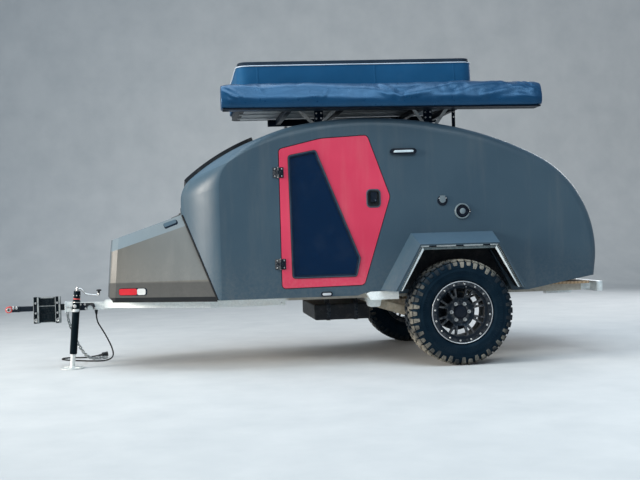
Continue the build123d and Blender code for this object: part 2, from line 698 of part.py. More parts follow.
def write_wheels():
    """Tyres, spoked rims and brake drums of both wheels."""
    w = tyre_width / 2
    r = tyre_radius
    bead = bead_radius + 0.3
    bead_t = rim_half_width - 0.4
    tall = tyre_radius - bead_radius
    crown = [
        (r, 0), (r - 1, w - 44.5), (r - 11, w - 16.5), (r - 40, w - 3.5), (r - tall / 2, w),
        (262, w - 15.5), (247, bead_t), (bead, bead_t),
    ]
    inside = [
        (bead, bead_t - 21), (240, bead_t - 16), (bead + 0.43 * tall, w - 15.5), (r - 44, w - 15.5),
        (r - 20, w - 38.5), (r - 15, 0),
    ]
    section = crown + inside
    section = section + [(r, -t) for r, t in reversed(inside[:-1])]
    section = section + [(r, -t) for r, t in reversed(crown[1:])]
    b, h = bead_radius, rim_half_width
    barrel = [
        (b + 26, h), (b + 26, h + 12), (b + 15, h + 15), (b - 9, h + 15), (b - 14, 40), (b - 29, 18),
        (b - 29, -60), (b - 13, -80), (b - 11, -h - 12), (b + 15, -h - 12), (b + 15, -h), (b, -h),
        (b, -72), (b - 19, -55), (b - 19, 5), (b, 30), (b, h),
    ]
    disc = [
        (0, -12), (86, -12), (100, 12), (150, 52), (b - 14, 70), (b - 9, 100), (150, 92), (95, 62), (0, 62),
    ]
    bore, d = spindle_radius, drum_radius
    drum = [
        (bore + 1, -175), (d, -175), (d, -60), (85, -60), (85, -12.3), (bore + 10, -12.3),
        (bore + 10, -20), (bore + 0.1, -30), (bore + 0.1, -175),
    ]
    for side, name in ((-1, "left"), (1, "right")):
        y = side * wheel_y
        save("tyre_" + name, turned_about_y(section, y))
        rim = turned_about_y(barrel, y) + turned_about_y(disc, y)
        y0, y1 = sorted((side * (wheel_y - 40), side * (wheel_y + 140)))
        for i in range(8):
            turn = Pos(0, 0, tyre_radius) * Rot(0, 45 * i, 0)
            deep = rounded([(-26, 108), (-42, 186), (42, 186), (26, 108)], 8)
            fork = rounded([(-6, 132), (-20, 188), (20, 188), (6, 132)], 5)
            rim = rim - turn * plate(deep, y0, y1)
            rim = rim - turn * Rot(0, 22.5, 0) * plate(fork, y0, y1)
        for i in range(6):
            turn = Pos(0, 0, tyre_radius) * Rot(0, 60 * i, 0)
            x0 = stud_circle / 2
            rim = rim - turn * rod((x0, y0, 0), (x0, y1, 0), 7.5)
        save("rim_" + name, rim)
        save("brake_drum_" + name, turned_about_y(drum, y))


def with_rack(shape):
    """The shape turned with the rack, which rises towards the rear."""
    return shape.rotate(Axis((tent_x[0], 0, rack_top_z), (0, 1, 0)), -rack_tilt)


def write_roof_load():
    """Side rails, towers, cross bars, solar panel, folded tent and awning."""
    rail_z = rack_top_z - 60
    rail = block(rack_x[0], rack_x[1], roof_rail_y - 20, roof_rail_y + 20, rail_z, rack_top_z)
    save("roof_rails", with_rack(both_sides(rail)))
    y0, y1 = roof_rail_y - 12, roof_rail_y + 12
    towers = Part()
    for x, half in ((-1012, 35), (-107, 35), (111, 12)):
        towers = towers + block(x - half, x + half, y0, y1, 1780, rack_top_z)
    above = with_rack(block(rack_x[0] - 50, rack_x[1] + 50, 0, y1 + 50, rail_z, rack_top_z + 100))
    save("rack_towers", both_sides(towers - cabin_outer - above))
    bars = Part()
    inner = roof_rail_y - 20
    for x in (-1240, -800, -100, 200):
        bars = bars + block(x - 20, x + 20, -inner, inner, rack_top_z - 50, rack_top_z)
    save("rack_crossbars", with_rack(bars))
    panel = block(-880, -400, -480, 480, 1966, 1990)
    feet = Part()
    for x in (-840, -440):
        for y in (-420, 420):
            feet = feet + block(x - 20, x + 20, y - 20, y + 20, 1900, 1966)
    save("solar_panel", panel + (feet - cabin_outer))
    x0, x1 = tent_x
    w = tent_half_width
    base_z = rack_top_z + tent_track_height
    cover_z = base_z + tent_base_height
    lid_z = tent_top_z - tent_lid_height
    base = block(x0 + 15, x1 - 15, -w + 15, w - 15, base_z, cover_z)
    base = fillet(base.edges().filter_by(Axis.Z), 80)
    for y in (-420, -150, 150, 420):
        base = base + block(x0 + 60, x1 - 60, y - 20, y + 20, rack_top_z, base_z)
    cover = block(x0, x1, -w, w, cover_z + 0.3, lid_z)
    cover = fillet(cover.edges().filter_by(Axis.Z), 95)
    save("tent_cover", with_rack(cover))
    lid = block(x0 + 8, x1 - 8, -w + 8, w - 8, lid_z + 0.3, tent_top_z)
    lid = fillet(lid.edges().filter_by(Axis.Z), 90)
    save("tent_shells", with_rack(base + lid))
    y0, y1 = awning_y
    z0, z1 = awning_z
    bag = block(awning_x[0], awning_x[1], y0, y1, z0, z1)
    bag = fillet(bag.edges().filter_by(Axis.X), 70)
    save("awning_bag", bag)
    brackets = Part()
    for x in (-1250, -550, 150):
        brackets = brackets + block(x - 25, x + 25, y1 + 0.3, y1 + 8, z0 + 50, z1 - 75)
        brackets = brackets + block(x - 25, x + 25, y1 + 8, -roof_rail_y - 20, z0 + 52, z0 + 60)
    save("awning_brackets", brackets)


def write_rear():
    """Rear bumper with its receiver, and the lights and sockets on the body."""
    bumper = block(bumper_x[0], bumper_x[1], -bumper_half, bumper_half, 520, 600)
    bumper = fillet(bumper.edges().filter_by(Axis.Z), 25)
    stays = Part()
    for y in (160 - bumper_half, bumper_half - 160):
        stays = stays + block(1100, bumper_x[0], y - 25, y + 25, rail_foot_z, rail_foot_z + 50)
    socket = block(1100, rear_end_x, -32, 32, 470, 534)
    tongue = block(1060, 1110, -32, 32, 534, leg_top_z)
    tongue = tongue + block(1060, 1100, -32, 32, 470, 534)
    rear = bumper + stays + socket + tongue
    rear = rear - block(1100, rear_end_x + 5, -25.7, 25.7, 476.3, 527.7)
    pin_x = rear_end_x - 9
    rear = rear - rod((pin_x, -40, 502), (pin_x, 40, 502), 5)
    save("rear_bumper", rear)
    lamp = Plane.YZ.offset(bumper_x[1]) * Pos(bumper_half - 140, 560) * SlotOverall(150, 50)
    save("tail_lights", both_sides(extrude(lamp, 14)))
    porch_side = rounded([(-486, 1666), (-486, 1708), (-275, 1708), (-275, 1666)], 20)
    porch = plate(porch_side, half_width, half_width + 22)
    cap = rod((-70, half_width, 1291), (-70, half_width + 14, 1291), 42)
    inlet = rod((90, half_width, 1202), (90, half_width + 18, 1202), 62)
    marker_side = SlotOverall(85, 34).moved(Location((-1023, 576, 0)))
    marker = plate(marker_side, half_width, half_width + 10)
    save("side_lamps", both_sides(porch + marker))
    save("side_sockets", mirror(cap + inlet, about=Plane.XZ))


# Cable route: out of the tongue, down to the ground, along it and back to the plug
cable_points = [
    (-2866, 0, 430), (-2866, 0, 375), (-2823, 50, 294), (-2779, 100, 200), (-2748, 165, 106),
    (-2752, 228, 40), (-2809, 262, 8), (-2905, 258, 7), (-3001, 316, 7), (-3085, 368, 7),
    (-3165, 430, 7), (-3222, 510, 7), (-3212, 585, 7), (-3150, 615, 7), (-3060, 570, 7),
    (-2975, 545, 12), (-2905, 556, 22),
]
# Chain route: from the receiver's flange to the ground beside the cable
chain_points = [
    (-3100, -15, 460.4), (-3100, -15, 420), (-3090, 8, 360), (-3072, 50, 290), (-3044, 105, 200),
    (-3012, 165, 120), (-2985, 240, 65), (-2962, 320, 36), (-2940, 400, 14), (-2893, 452, 13),
    (-2830, 478, 13),
]


def route_radii(points):
    """Largest arc that each corner of a route allows."""
    radii = []
    for a, b, c in zip(points, points[1:], points[2:]):
        first = Vector(*b) - Vector(*a)
        second = Vector(*c) - Vector(*b)
        turn = first.get_angle(second)
        shorter = min(first.length, second.length)
        radii.append(0.45 * shorter / tan(radians(turn) / 2))
    return radii


def tube_along(points, diameter):
    """Round tube of straight runs joined by tangent arcs."""
    radii = route_radii(points)
    path = FilletPolyline(*points, radius=radii)
    section = Plane(origin=path @ 0, z_dir=path % 0) * Circle(diameter / 2)
    tube = sweep(section, path=path)
    length = path.length
    print("route length", round(length), "radii", [round(r) for r in radii])
    print("tube volume over section times length", round(tube.volume / (pi * diameter**2 / 4 * length), 4))
    return tube


def write_cords():
    """Gland, cable, plug and safety chain."""
    x, y, z = cable_points[0]
    gland = rod((x, y, z + 16), (x, y, tongue_foot_z), 13)
    gland = gland + rod((x, y, z), (x, y, z + 16), 9)
    save("cable", tube_along(cable_points, cable_diameter))
    end = Vector(*cable_points[-1])
    heading = (end - Vector(*cable_points[-2])).normalized()
    tip = end + heading * 85
    plug = rod(tuple(end), tuple(end + heading * 30), 11)
    plug = plug + rod(tuple(end + heading * 30), tuple(tip), 21)
    plug = plug & block(-3200, -2600, 0, 900, 0.5, 100)
    save("cable_ends", gland + plug)
    save("safety_chain", tube_along(chain_points, chain_width))


os.makedirs("parts", exist_ok=True)
write_cabin()
write_door(-1, "door_left")
write_door(1, "door_right")
write_hinge_leaves()
write_nose()
write_hatch()
write_flares()
write_chassis()
write_hitch()
write_jack()
write_wheels()
write_roof_load()
write_rear()
write_cords()
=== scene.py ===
import json
import math

import bmesh
import bpy
from mathutils import Matrix, Vector, noise
from mathutils.bvhtree import BVHTree

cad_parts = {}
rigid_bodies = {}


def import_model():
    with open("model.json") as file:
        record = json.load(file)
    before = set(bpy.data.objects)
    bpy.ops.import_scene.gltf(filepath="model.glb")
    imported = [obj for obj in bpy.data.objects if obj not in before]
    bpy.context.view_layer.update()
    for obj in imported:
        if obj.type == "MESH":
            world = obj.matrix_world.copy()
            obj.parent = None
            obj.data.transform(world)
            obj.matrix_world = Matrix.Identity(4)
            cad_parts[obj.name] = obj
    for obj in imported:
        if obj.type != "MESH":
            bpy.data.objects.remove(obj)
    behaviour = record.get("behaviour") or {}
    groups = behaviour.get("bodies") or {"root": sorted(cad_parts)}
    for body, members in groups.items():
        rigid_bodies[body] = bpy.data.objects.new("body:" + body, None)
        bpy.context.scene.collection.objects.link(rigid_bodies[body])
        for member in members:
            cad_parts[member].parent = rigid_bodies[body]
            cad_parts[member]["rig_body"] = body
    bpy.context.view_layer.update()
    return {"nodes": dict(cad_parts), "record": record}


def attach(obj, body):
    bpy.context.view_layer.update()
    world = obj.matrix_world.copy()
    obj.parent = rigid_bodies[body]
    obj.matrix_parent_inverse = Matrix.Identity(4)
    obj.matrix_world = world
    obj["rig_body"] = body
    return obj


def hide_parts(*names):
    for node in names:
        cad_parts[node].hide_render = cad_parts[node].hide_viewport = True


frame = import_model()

scene = bpy.context.scene
nodes = frame["nodes"]
AXLE_X = 1.150
SIDES = ((-1, "left"), (1, "right"))
CAMERA_AT = (-0.99, -8.58, 1.03)
CAMERA_YAW, CAMERA_PITCH, CAMERA_ROLL = 7.88, -0.2, 1.61
LENS, SENSOR = 56.25, 36


def at_axle(x):
    """Shared-frame X, in metres, of a distance behind the axle in millimetres."""
    return AXLE_X + x / 1000


# Camera at the photograph's viewpoint


def make_camera():
    """Camera fitted to points of the photograph."""
    yaw, pitch, roll = (math.radians(a) for a in (CAMERA_YAW, CAMERA_PITCH, CAMERA_ROLL))
    forward = Vector((math.sin(yaw) * math.cos(pitch), math.cos(yaw) * math.cos(pitch), math.sin(pitch)))
    level = Vector((math.cos(yaw), -math.sin(yaw), 0))
    down = forward.cross(level)
    right = level * math.cos(roll) + down * math.sin(roll)
    up = level * math.sin(roll) - down * math.cos(roll)
    turn = Matrix((right, up, -forward)).transposed().to_4x4()
    data = bpy.data.cameras.new("camera")
    data.lens = LENS
    data.sensor_width = SENSOR
    camera = bpy.data.objects.new("camera", data)
    camera.matrix_world = Matrix.Translation(CAMERA_AT) @ turn
    scene.collection.objects.link(camera)
    scene.camera = camera


make_camera()


# Materials


mats = {}


class Look:
    """A node material being put together, kept in mats under its name."""

    def __init__(self, name, **fixed):
        self.material = bpy.data.materials.new(name)
        self.material.use_nodes = True
        mats[name] = self.material
        self.tree = self.material.node_tree
        self.shader = self.tree.nodes["Principled BSDF"]
        self.place = self.node("ShaderNodeTexCoord").outputs["Object"]
        self.normal = None
        for key, value in fixed.items():
            self.shader.inputs[key.replace("_", " ")].default_value = value

    def node(self, kind, **values):
        made = self.tree.nodes.new(kind)
        for key, value in values.items():
            setattr(made, key, value)
        return made

    def join(self, source, target):
        self.tree.links.new(source, target)

    def stretched(self, scale, turn=(0, 0, 0)):
        made = self.node("ShaderNodeMapping")
        made.inputs["Scale"].default_value = scale
        made.inputs["Rotation"].default_value = turn
        self.join(self.place, made.inputs["Vector"])
        return made.outputs[0]

    def noise(self, scale, detail=4.0, rough=0.55, place=None, distortion=0.0):
        made = self.node("ShaderNodeTexNoise")
        made.inputs["Scale"].default_value = scale
        made.inputs["Detail"].default_value = detail
        made.inputs["Roughness"].default_value = rough
        made.inputs["Distortion"].default_value = distortion
        self.join(place or self.place, made.inputs["Vector"])
        return made.outputs["Fac"]

    def cells(self, scale, output="Distance", feature="F1", place=None):
        made = self.node("ShaderNodeTexVoronoi", feature=feature)
        made.inputs["Scale"].default_value = scale
        self.join(place or self.place, made.inputs["Vector"])
        return made.outputs[output]

    def waves(self, scale, axis="X", place=None, distortion=0.0, kind="BANDS"):
        made = self.node("ShaderNodeTexWave", wave_type=kind)
        if kind == "BANDS":
            made.bands_direction = axis
        made.inputs["Scale"].default_value = scale
        made.inputs["Distortion"].default_value = distortion
        self.join(place or self.place, made.inputs["Vector"])
        return made.outputs["Fac"]

    def axis(self, name, place=None):
        made = self.node("ShaderNodeSeparateXYZ")
        self.join(place or self.place, made.inputs[0])
        return made.outputs[name]

    def reach(self, source, low, high, out_low=0.0, out_high=1.0):
        made = self.node("ShaderNodeMapRange")
        for key, value in zip(("From Min", "From Max", "To Min", "To Max"), (low, high, out_low, out_high)):
            made.inputs[key].default_value = value
        self.join(source, made.inputs["Value"])
        return made.outputs[0]

    def math(self, operation, a, b):
        made = self.node("ShaderNodeMath", operation=operation)
        for socket, value in zip(made.inputs, (a, b)):
            if isinstance(value, (int, float)):
                socket.default_value = value
            else:
                self.join(value, socket)
        return made.outputs[0]

    def mixed(self, share, a, b, mode="MIX"):
        made = self.node("ShaderNodeMix", data_type="RGBA", blend_type=mode)
        for socket, value in zip((made.inputs[0], made.inputs[6], made.inputs[7]), (share, a, b)):
            if isinstance(value, (int, float)):
                socket.default_value = value
            elif isinstance(value, tuple):
                socket.default_value = (*value, 1)
            else:
                self.join(value, socket)
        return made.outputs[2]

    def over(self, under, mask, share, top):
        """The top colour laid over another by a share of a mask."""
        return self.mixed(self.math("MULTIPLY", mask, share), under, top)

    def colour(self, source):
        self.join(source, self.shader.inputs["Base Color"])

    def roughness(self, source, low, high):
        self.join(self.reach(source, 0.25, 0.75, low, high), self.shader.inputs["Roughness"])

    def relief(self, height, depth, strength=1.0):
        """Adds a bump whose full height is depth metres."""
        made = self.node("ShaderNodeBump")
        made.inputs["Distance"].default_value = depth
        made.inputs["Strength"].default_value = strength
        self.join(height, made.inputs["Height"])
        if self.normal:
            self.join(self.normal, made.inputs["Normal"])
        self.normal = made.outputs[0]
        self.join(self.normal, self.shader.inputs["Normal"])

    def worn(self, low=0.54, high=0.62, scale=60):
        """Share of bare edge, from the mesh's outward corners."""
        point = self.node("ShaderNodeNewGeometry").outputs["Pointiness"]
        edge = self.reach(point, low, high)
        return self.math("MULTIPLY", edge, self.reach(self.noise(scale, 5, 0.7), 0.42, 0.6))


def two_tone(look, a, b, scale, detail=5, low=0.3, high=0.7):
    """Base colour drifting between two tones."""
    return look.mixed(look.reach(look.noise(scale, detail), low, high), a, b)


# Blue tint for the reflections of dark paint, rubber and cloth: a painted sky reflection.
PAINTED_SKY_TINT = (0.35, 0.65, 1.0, 1.0)


def gel_coat(name, dark, light, dust, roughness, nose=False):
    """Moulded skin with streaks, dust low down and a painted cool sky reflection where it faces up; on the
    nose also painted reflection on forward faces, painted shade low down and a near-black foot band.
    """
    look = Look(name, Coat_Weight=0.05, Coat_Roughness=0.25, Specular_IOR_Level=0.22)
    base = two_tone(look, dark, light, 1.7, 3)
    streaks = look.reach(look.noise(9, 6, 0.6, look.stretched((1, 1, 0.12))), 0.5, 0.72)
    base = look.over(base, streaks, 0.16, dust)
    low_dust = look.reach(look.axis("Z"), 0.95, 0.52)
    grain = look.reach(look.noise(38, 8, 0.75), 0.4, 0.7)
    base = look.over(base, look.math("MULTIPLY", low_dust, grain), 0.38, dust)
    look.roughness(look.noise(5, 6, 0.6), roughness - 0.05, roughness + 0.09)
    look.relief(look.noise(420, 2, 0.5), 0.00022, 0.35)
    look.relief(look.noise(3.0, 2, 0.4), 0.0035, 0.22)
    facing = look.node("ShaderNodeNewGeometry").outputs["Normal"]
    if nose:
        level_from, level_to, painted_sky_reflection = 0.10, 0.60, (0.15, 0.235, 0.30)
    else:
        level_from, level_to, painted_sky_reflection = 0.5, 0.85, (0.07, 0.125, 0.18)
    # Painted sky reflection: a cooler tone on faces that point up.
    upward = look.reach(look.axis("Z", facing), level_from, level_to)
    tone = look.over(base, upward, 0.5, painted_sky_reflection)
    if nose:
        # Painted sky reflection: a cool tint on the nose's faces that point forward.
        ahead = look.reach(look.axis("X", facing), -0.45, -0.75)
        tone = look.over(tone, ahead, 0.8, (0.065, 0.088, 0.108))
        # Painted shade: the nose is darker below the crease at 0.70 m.
        low = look.math("MULTIPLY", look.reach(look.axis("Z"), 0.712, 0.698), 0.62)
        tone = look.mixed(low, tone, (0.035, 0.038, 0.040))
        # Near-black band along the nose's foot, below 0.587 m: partly its seal line, partly painted shade.
        tone = look.mixed(look.reach(look.axis("Z"), 0.5872, 0.5858), tone, (0.005, 0.007, 0.009))
        back = look.math("SUBTRACT", look.axis("X"), look.math("MULTIPLY", look.axis("Z"), 0.0785))
        look.relief(look.reach(back, -1.632, -1.572), 0.026)
    look.colour(tone)


def galvanised(name, light=(0.70, 0.75, 0.745), dark=(0.57, 0.62, 0.62), floor_reflection_from=None):
    """Spangled zinc with bloom and grime, and behind a place, if one is given, a mottled beige painted
    reflection of the floor.
    """
    look = Look(name, Metallic=0.15)
    cell = look.axis("X", look.cells(85, "Color"))
    base = look.mixed(look.reach(cell, 0, 1), dark, light)
    bloom = look.reach(look.noise(14, 7, 0.7), 0.45, 0.68)
    base = look.over(base, bloom, 0.5, (0.80, 0.80, 0.76))
    grime = look.reach(look.noise(6, 8, 0.75), 0.6, 0.8)
    base = look.over(base, grime, 0.22, (0.30, 0.26, 0.20))
    if floor_reflection_from is not None:
        # Painted reflection of the beige floor on the zinc under the body.
        painted_reflection_behind = look.reach(look.axis("X"), floor_reflection_from - 0.02, floor_reflection_from + 0.02)
        mottled_floor_reflection = look.mixed(look.reach(look.noise(30, 6, 0.7), 0.35, 0.65), (0.27, 0.235, 0.18),
                             (0.38, 0.345, 0.28))
        base = look.over(base, painted_reflection_behind, 0.9, mottled_floor_reflection)
    look.colour(base)
    look.roughness(look.noise(22, 6, 0.6), 0.30, 0.52)
    look.relief(cell, 0.0002, 0.3)
    look.relief(look.noise(160, 4, 0.6), 0.0003, 0.3)


def coated_steel(name, base=(0.007, 0.009, 0.012), bare=(0.34, 0.33, 0.32), roughness=0.40, wear=0.35,
                 dust=0.05, shine=0.12):
    """Painted steel, bare at its worn edges."""
    look = Look(name, Specular_IOR_Level=shine, Specular_Tint=PAINTED_SKY_TINT)
    tone = two_tone(look, base, tuple(c * 1.9 for c in base), 20, 6)
    film = look.reach(look.noise(11, 8, 0.7), 0.52, 0.75)
    tone = look.over(tone, film, dust, (0.16, 0.14, 0.12))
    edge = look.math("MULTIPLY", look.worn(), wear)
    look.colour(look.mixed(edge, tone, bare))
    look.join(edge, look.shader.inputs["Metallic"])
    look.roughness(look.noise(70, 5, 0.6), roughness - 0.07, roughness + 0.12)
    look.relief(look.noise(260, 3, 0.5), 0.0002, 0.2)


def bright_steel(name, base=(0.58, 0.58, 0.57), stain=(0.30, 0.29, 0.27), roughness=0.26):
    """Bare bright metal with stains."""
    look = Look(name, Metallic=0.95)
    tone = two_tone(look, base, tuple(c * 0.82 for c in base), 35, 6)
    marks = look.reach(look.noise(18, 8, 0.75), 0.55, 0.75)
    look.colour(look.over(tone, marks, 0.6, stain))
    look.roughness(look.noise(45, 6, 0.65), roughness - 0.06, roughness + 0.18)
    look.relief(look.noise(300, 4, 0.6, look.stretched((1, 1, 0.1))), 0.0002, 0.3)


def moulded(name, base=(0.010, 0.012, 0.015), roughness=0.5, grain=600, wear=0.0, dust=0.18):
    """Grained plastic with a film of dust."""
    look = Look(name, Specular_IOR_Level=0.16)
    tone = two_tone(look, base, tuple(c * 1.45 for c in base), 9, 5)
    film = look.reach(look.noise(13, 8, 0.72), 0.48, 0.74)
    tone = look.over(tone, film, dust, (0.20, 0.185, 0.165))
    if wear:
        tone = look.over(tone, look.worn(), wear, tuple(min(1, c * 4) for c in base))
    look.colour(tone)
    look.roughness(look.noise(26, 5, 0.6), roughness - 0.06, roughness + 0.1)
    look.relief(look.cells(grain), 0.0003, 0.4)


def rubber(name, base=(0.013, 0.013, 0.014), dust=0.3, fine=500):
    """Dull rubber with dust."""
    look = Look(name, Specular_IOR_Level=0.2)
    tone = two_tone(look, base, tuple(c * 1.8 for c in base), 12, 6)
    film = look.reach(look.noise(9, 9, 0.75), 0.46, 0.72)
    look.colour(look.over(tone, film, dust, (0.15, 0.135, 0.115)))
    look.roughness(look.noise(30, 6, 0.6), 0.58, 0.82)
    look.relief(look.noise(fine, 4, 0.65), 0.0004, 0.4)


def tyre(name, lugs=False):
    """Dark tyre rubber, with patches of dust on the tread blocks."""
    look = Look(name, Specular_IOR_Level=0.10, Specular_Tint=PAINTED_SKY_TINT)
    # The blue in the dark rubber tone is a painted cast of sky light.
    tone = two_tone(look, (0.002, 0.007, 0.013), (0.005, 0.012, 0.019), 12, 6)
    if lugs:
        tone = two_tone(look, (0.010, 0.013, 0.016), (0.018, 0.021, 0.024), 12, 6)
        patchy = look.reach(look.noise(2.6, 3, 0.5), 0.47, 0.60)
        speckled = look.reach(look.noise(60, 6, 0.7), 0.25, 0.5)
        dusty = look.math("MULTIPLY", look.math("MULTIPLY", patchy, speckled), 0.75)
        tone = look.mixed(dusty, tone, (0.27, 0.25, 0.205))
    film = look.reach(look.noise(9, 9, 0.75), 0.5, 0.75)
    look.colour(look.over(tone, film, 0.06, (0.10, 0.11, 0.12)))
    look.roughness(look.noise(30, 6, 0.6), 0.46, 0.7)
    look.relief(look.noise(500, 4, 0.65), 0.0003, 0.3)


def canvas(name, base, light, roughness, sheen=0.25, weave=900, shine=0.15):
    """Woven cloth."""
    look = Look(name, Sheen_Weight=sheen, Sheen_Roughness=0.45, Specular_IOR_Level=shine,
                Specular_Tint=PAINTED_SKY_TINT)
    tone = two_tone(look, base, light, 3.2, 6)
    film = look.reach(look.noise(7, 9, 0.72), 0.5, 0.72)
    tone = look.over(tone, film, 0.04, (0.12, 0.18, 0.24))
    across = look.waves(weave / 6.28, "X")
    upward = look.waves(weave / 6.28, "Z")
    threads = look.math("MAXIMUM", across, upward)
    look.colour(look.mixed(look.reach(threads, 0, 1, 0.0, 0.18), tone, light))
    look.roughness(look.noise(16, 5, 0.6), roughness - 0.07, roughness + 0.1)
    look.relief(threads, 0.0002, 0.35)
    look.relief(look.noise(26, 5, 0.6), 0.0016, 0.35)


def tinted(name, base, alpha, roughness=0.05):
    """Smooth tinted glass or lens."""
    look = Look(name, Alpha=alpha, Specular_IOR_Level=0.2)
    film = look.reach(look.noise(6, 8, 0.7), 0.5, 0.75)
    look.colour(look.over(base, film, 0.05, (0.12, 0.14, 0.16)))
    look.roughness(look.noise(10, 7, 0.7), roughness, roughness + 0.07)
    look.relief(look.noise(4, 2, 0.5), 0.0012, 0.25)


def solar_cells(name):
    """Dark cells with thin pale bus lines between them."""
    look = Look(name, Coat_Weight=0.6, Coat_Roughness=0.08, Specular_IOR_Level=0.3)
    lines = []
    for way, pitch in (("X", 0.0785), ("Y", 0.157)):
        place_in = look.math("FRACT", look.math("DIVIDE", look.axis(way), pitch), 0)
        edge = look.math("ABSOLUTE", look.math("SUBTRACT", place_in, 0.5), 0)
        lines.append(look.reach(edge, 0.482, 0.49))
    fingers = look.math("MULTIPLY", look.waves(300, "X"), 0.12)
    base = look.mixed(fingers, two_tone(look, (0.004, 0.006, 0.020), (0.006, 0.010, 0.032), 14, 4),
                      (0.10, 0.11, 0.14))
    look.colour(look.mixed(look.math("MAXIMUM", lines[0], lines[1]), base, (0.42, 0.43, 0.45)))
    look.roughness(look.noise(8, 6, 0.6), 0.18, 0.34)


def plywood(name, light=(0.50, 0.34, 0.19), dark=(0.30, 0.18, 0.09)):
    """Varnished wood grain."""
    look = Look(name, Coat_Weight=0.25, Coat_Roughness=0.25)
    along = look.stretched((6, 1.0, 6))
    rings = look.waves(3.2, "X", look.stretched((3.0, 0.55, 3.0)), 6.0)
    base = look.mixed(look.reach(rings, 0.2, 0.9), light, dark)
    pores = look.reach(look.noise(55, 8, 0.75, along), 0.5, 0.72)
    look.colour(look.over(base, pores, 0.4, (0.16, 0.09, 0.05)))
    look.roughness(look.noise(20, 5, 0.6), 0.36, 0.5)
    look.relief(pores, 0.0003, 0.4)


def lined(name, base=(0.55, 0.54, 0.52), dark=(0.42, 0.41, 0.40)):
    """Short-pile lining felt."""
    look = Look(name, Sheen_Weight=0.4, Sheen_Roughness=0.5, Roughness=0.92)
    look.colour(two_tone(look, base, dark, 260, 6, 0.35, 0.65))
    look.relief(look.noise(700, 6, 0.75), 0.0012, 0.6)
    look.relief(look.noise(20, 4, 0.6), 0.0015, 0.3)


# Body paint whose blue cast is partly painted sky reflection.
gel_coat("body_grey", (0.032, 0.060, 0.085), (0.043, 0.074, 0.099), (0.14, 0.145, 0.14), 0.38)
# The nose's paint: a lighter, warmer copy of the body paint, painted light where the nose faces the front.
gel_coat("nose_paint_painted_lit", (0.092, 0.092, 0.084), (0.110, 0.108, 0.099), (0.20, 0.19, 0.17), 0.36, True)
gel_coat("door_red", (0.50, 0.032, 0.074), (0.60, 0.050, 0.100), (0.55, 0.20, 0.20), 0.34)
lined("liner")
galvanised("galvanised")
coated_steel("black_steel")
coated_steel("worn_steel", (0.15, 0.165, 0.165), (0.45, 0.45, 0.44), 0.40, 0.8, 0.35)
coated_steel("jack_black", (0.002, 0.004, 0.005), (0.30, 0.30, 0.30), 0.30, 0.12, 0.02, 0.07)
coated_steel("guard_steel", (0.045, 0.060, 0.062), (0.30, 0.32, 0.32), 0.45, 0.3, 0.1)
bright_steel("chain_zinc", (0.34, 0.37, 0.38), (0.12, 0.12, 0.12), 0.34)
galvanised("zinc_leg", (0.60, 0.63, 0.62), (0.48, 0.51, 0.50))
# A brighter, bluer copy of the zinc for the drawbar legs and suspension mounts: painted light where they
# face the lamps.
galvanised("zinc_painted_lit", (0.88, 0.93, 0.91), (0.76, 0.81, 0.80))
# The frame rails: painted-lit bright zinc in front, and behind a point 1330 mm ahead of the axle a mottled
# beige painted floor reflection.
galvanised("rail_zinc", (0.88, 0.93, 0.91), (0.76, 0.81, 0.80), at_axle(-1330))
moulded("white_film", (0.40, 0.42, 0.42), 0.34, 1800, 0.0, 0.12)
bright_steel("bright_steel")
moulded("black_plastic")
moulded("gloss_black", (0.004, 0.007, 0.013), 0.2, 1500, 0, 0.05)
moulded("window_grey", (0.002, 0.011, 0.028), 0.40, 800, 0.0, 0.08)
moulded("window_edge", (0.045, 0.064, 0.084), 0.36, 900, 0.0, 0.12)
rubber("seal_rubber", (0.006, 0.007, 0.008), 0.1, 900)
tyre("tyre_rubber")
tyre("tyre_lugs", True)
# Beige-coated steel with a film of dust, for the trailing arms.
coated_steel("beige_steel", (0.30, 0.255, 0.19), (0.5, 0.48, 0.42), 0.5, 0.3, 0.5)
moulded("red_bush", (0.42, 0.075, 0.070), 0.42, 900, 0.0, 0.15)
moulded("badge_red", (0.36, 0.014, 0.022), 0.30, 1500, 0.0, 0.06)
moulded("socket_grey", (0.11, 0.14, 0.155), 0.36, 900, 0.0, 0.1)
moulded("white_lens", (0.46, 0.53, 0.56), 0.25, 1500, 0.0, 0.05)
tinted("dark_glass", (0.0, 0.012, 0.040), 0.95)
tinted("clear_lens", (0.62, 0.64, 0.66), 0.75, 0.08)
tinted("red_lens", (0.30, 0.010, 0.012), 0.92, 0.10)
solar_cells("solar")
# Cover cloth that is near black, drawn blue: the blue is painted sky reflection.
canvas("cover_fabric", (0.005, 0.048, 0.116), (0.009, 0.064, 0.148), 0.62, 0.02)
canvas("lid_fabric", (0.004, 0.007, 0.012), (0.008, 0.013, 0.021), 0.45, 0.04, 700, 0.12)
canvas("piping", (0.36, 0.42, 0.50), (0.48, 0.54, 0.62), 0.5, 0.1, 1500)
# Bag cloth, near black too: its navy and its strong blue-tinted highlights are painted sky reflection.
canvas("bag_fabric", (0.0, 0.022, 0.062), (0.001, 0.032, 0.085), 0.30, 0.0, 1100, 0.75)
canvas("mattress_cloth", (0.25, 0.26, 0.28), (0.38, 0.39, 0.41), 0.85, 0.5, 700)
plywood("plywood")
coated_steel("black_aluminium", (0.0012, 0.003, 0.0065), (0.10, 0.10, 0.11), 0.34, 0.06, 0.0, 0.07)
bright_steel("aluminium", (0.62, 0.63, 0.64), (0.42, 0.42, 0.42), 0.34)


# Building helpers


def mm(x, y, z):
    """Shared-frame point of a place given in millimetres behind, beside and above the axle's foot."""
    return Vector((at_axle(x), y / 1000, z / 1000))


def block(bm, x0, x1, y0, y1, z0, z1):
    """Box between limits in millimetres."""
    prism(bm, [(x0, z0), (x1, z0), (x1, z1), (x0, z1)], y0, y1)


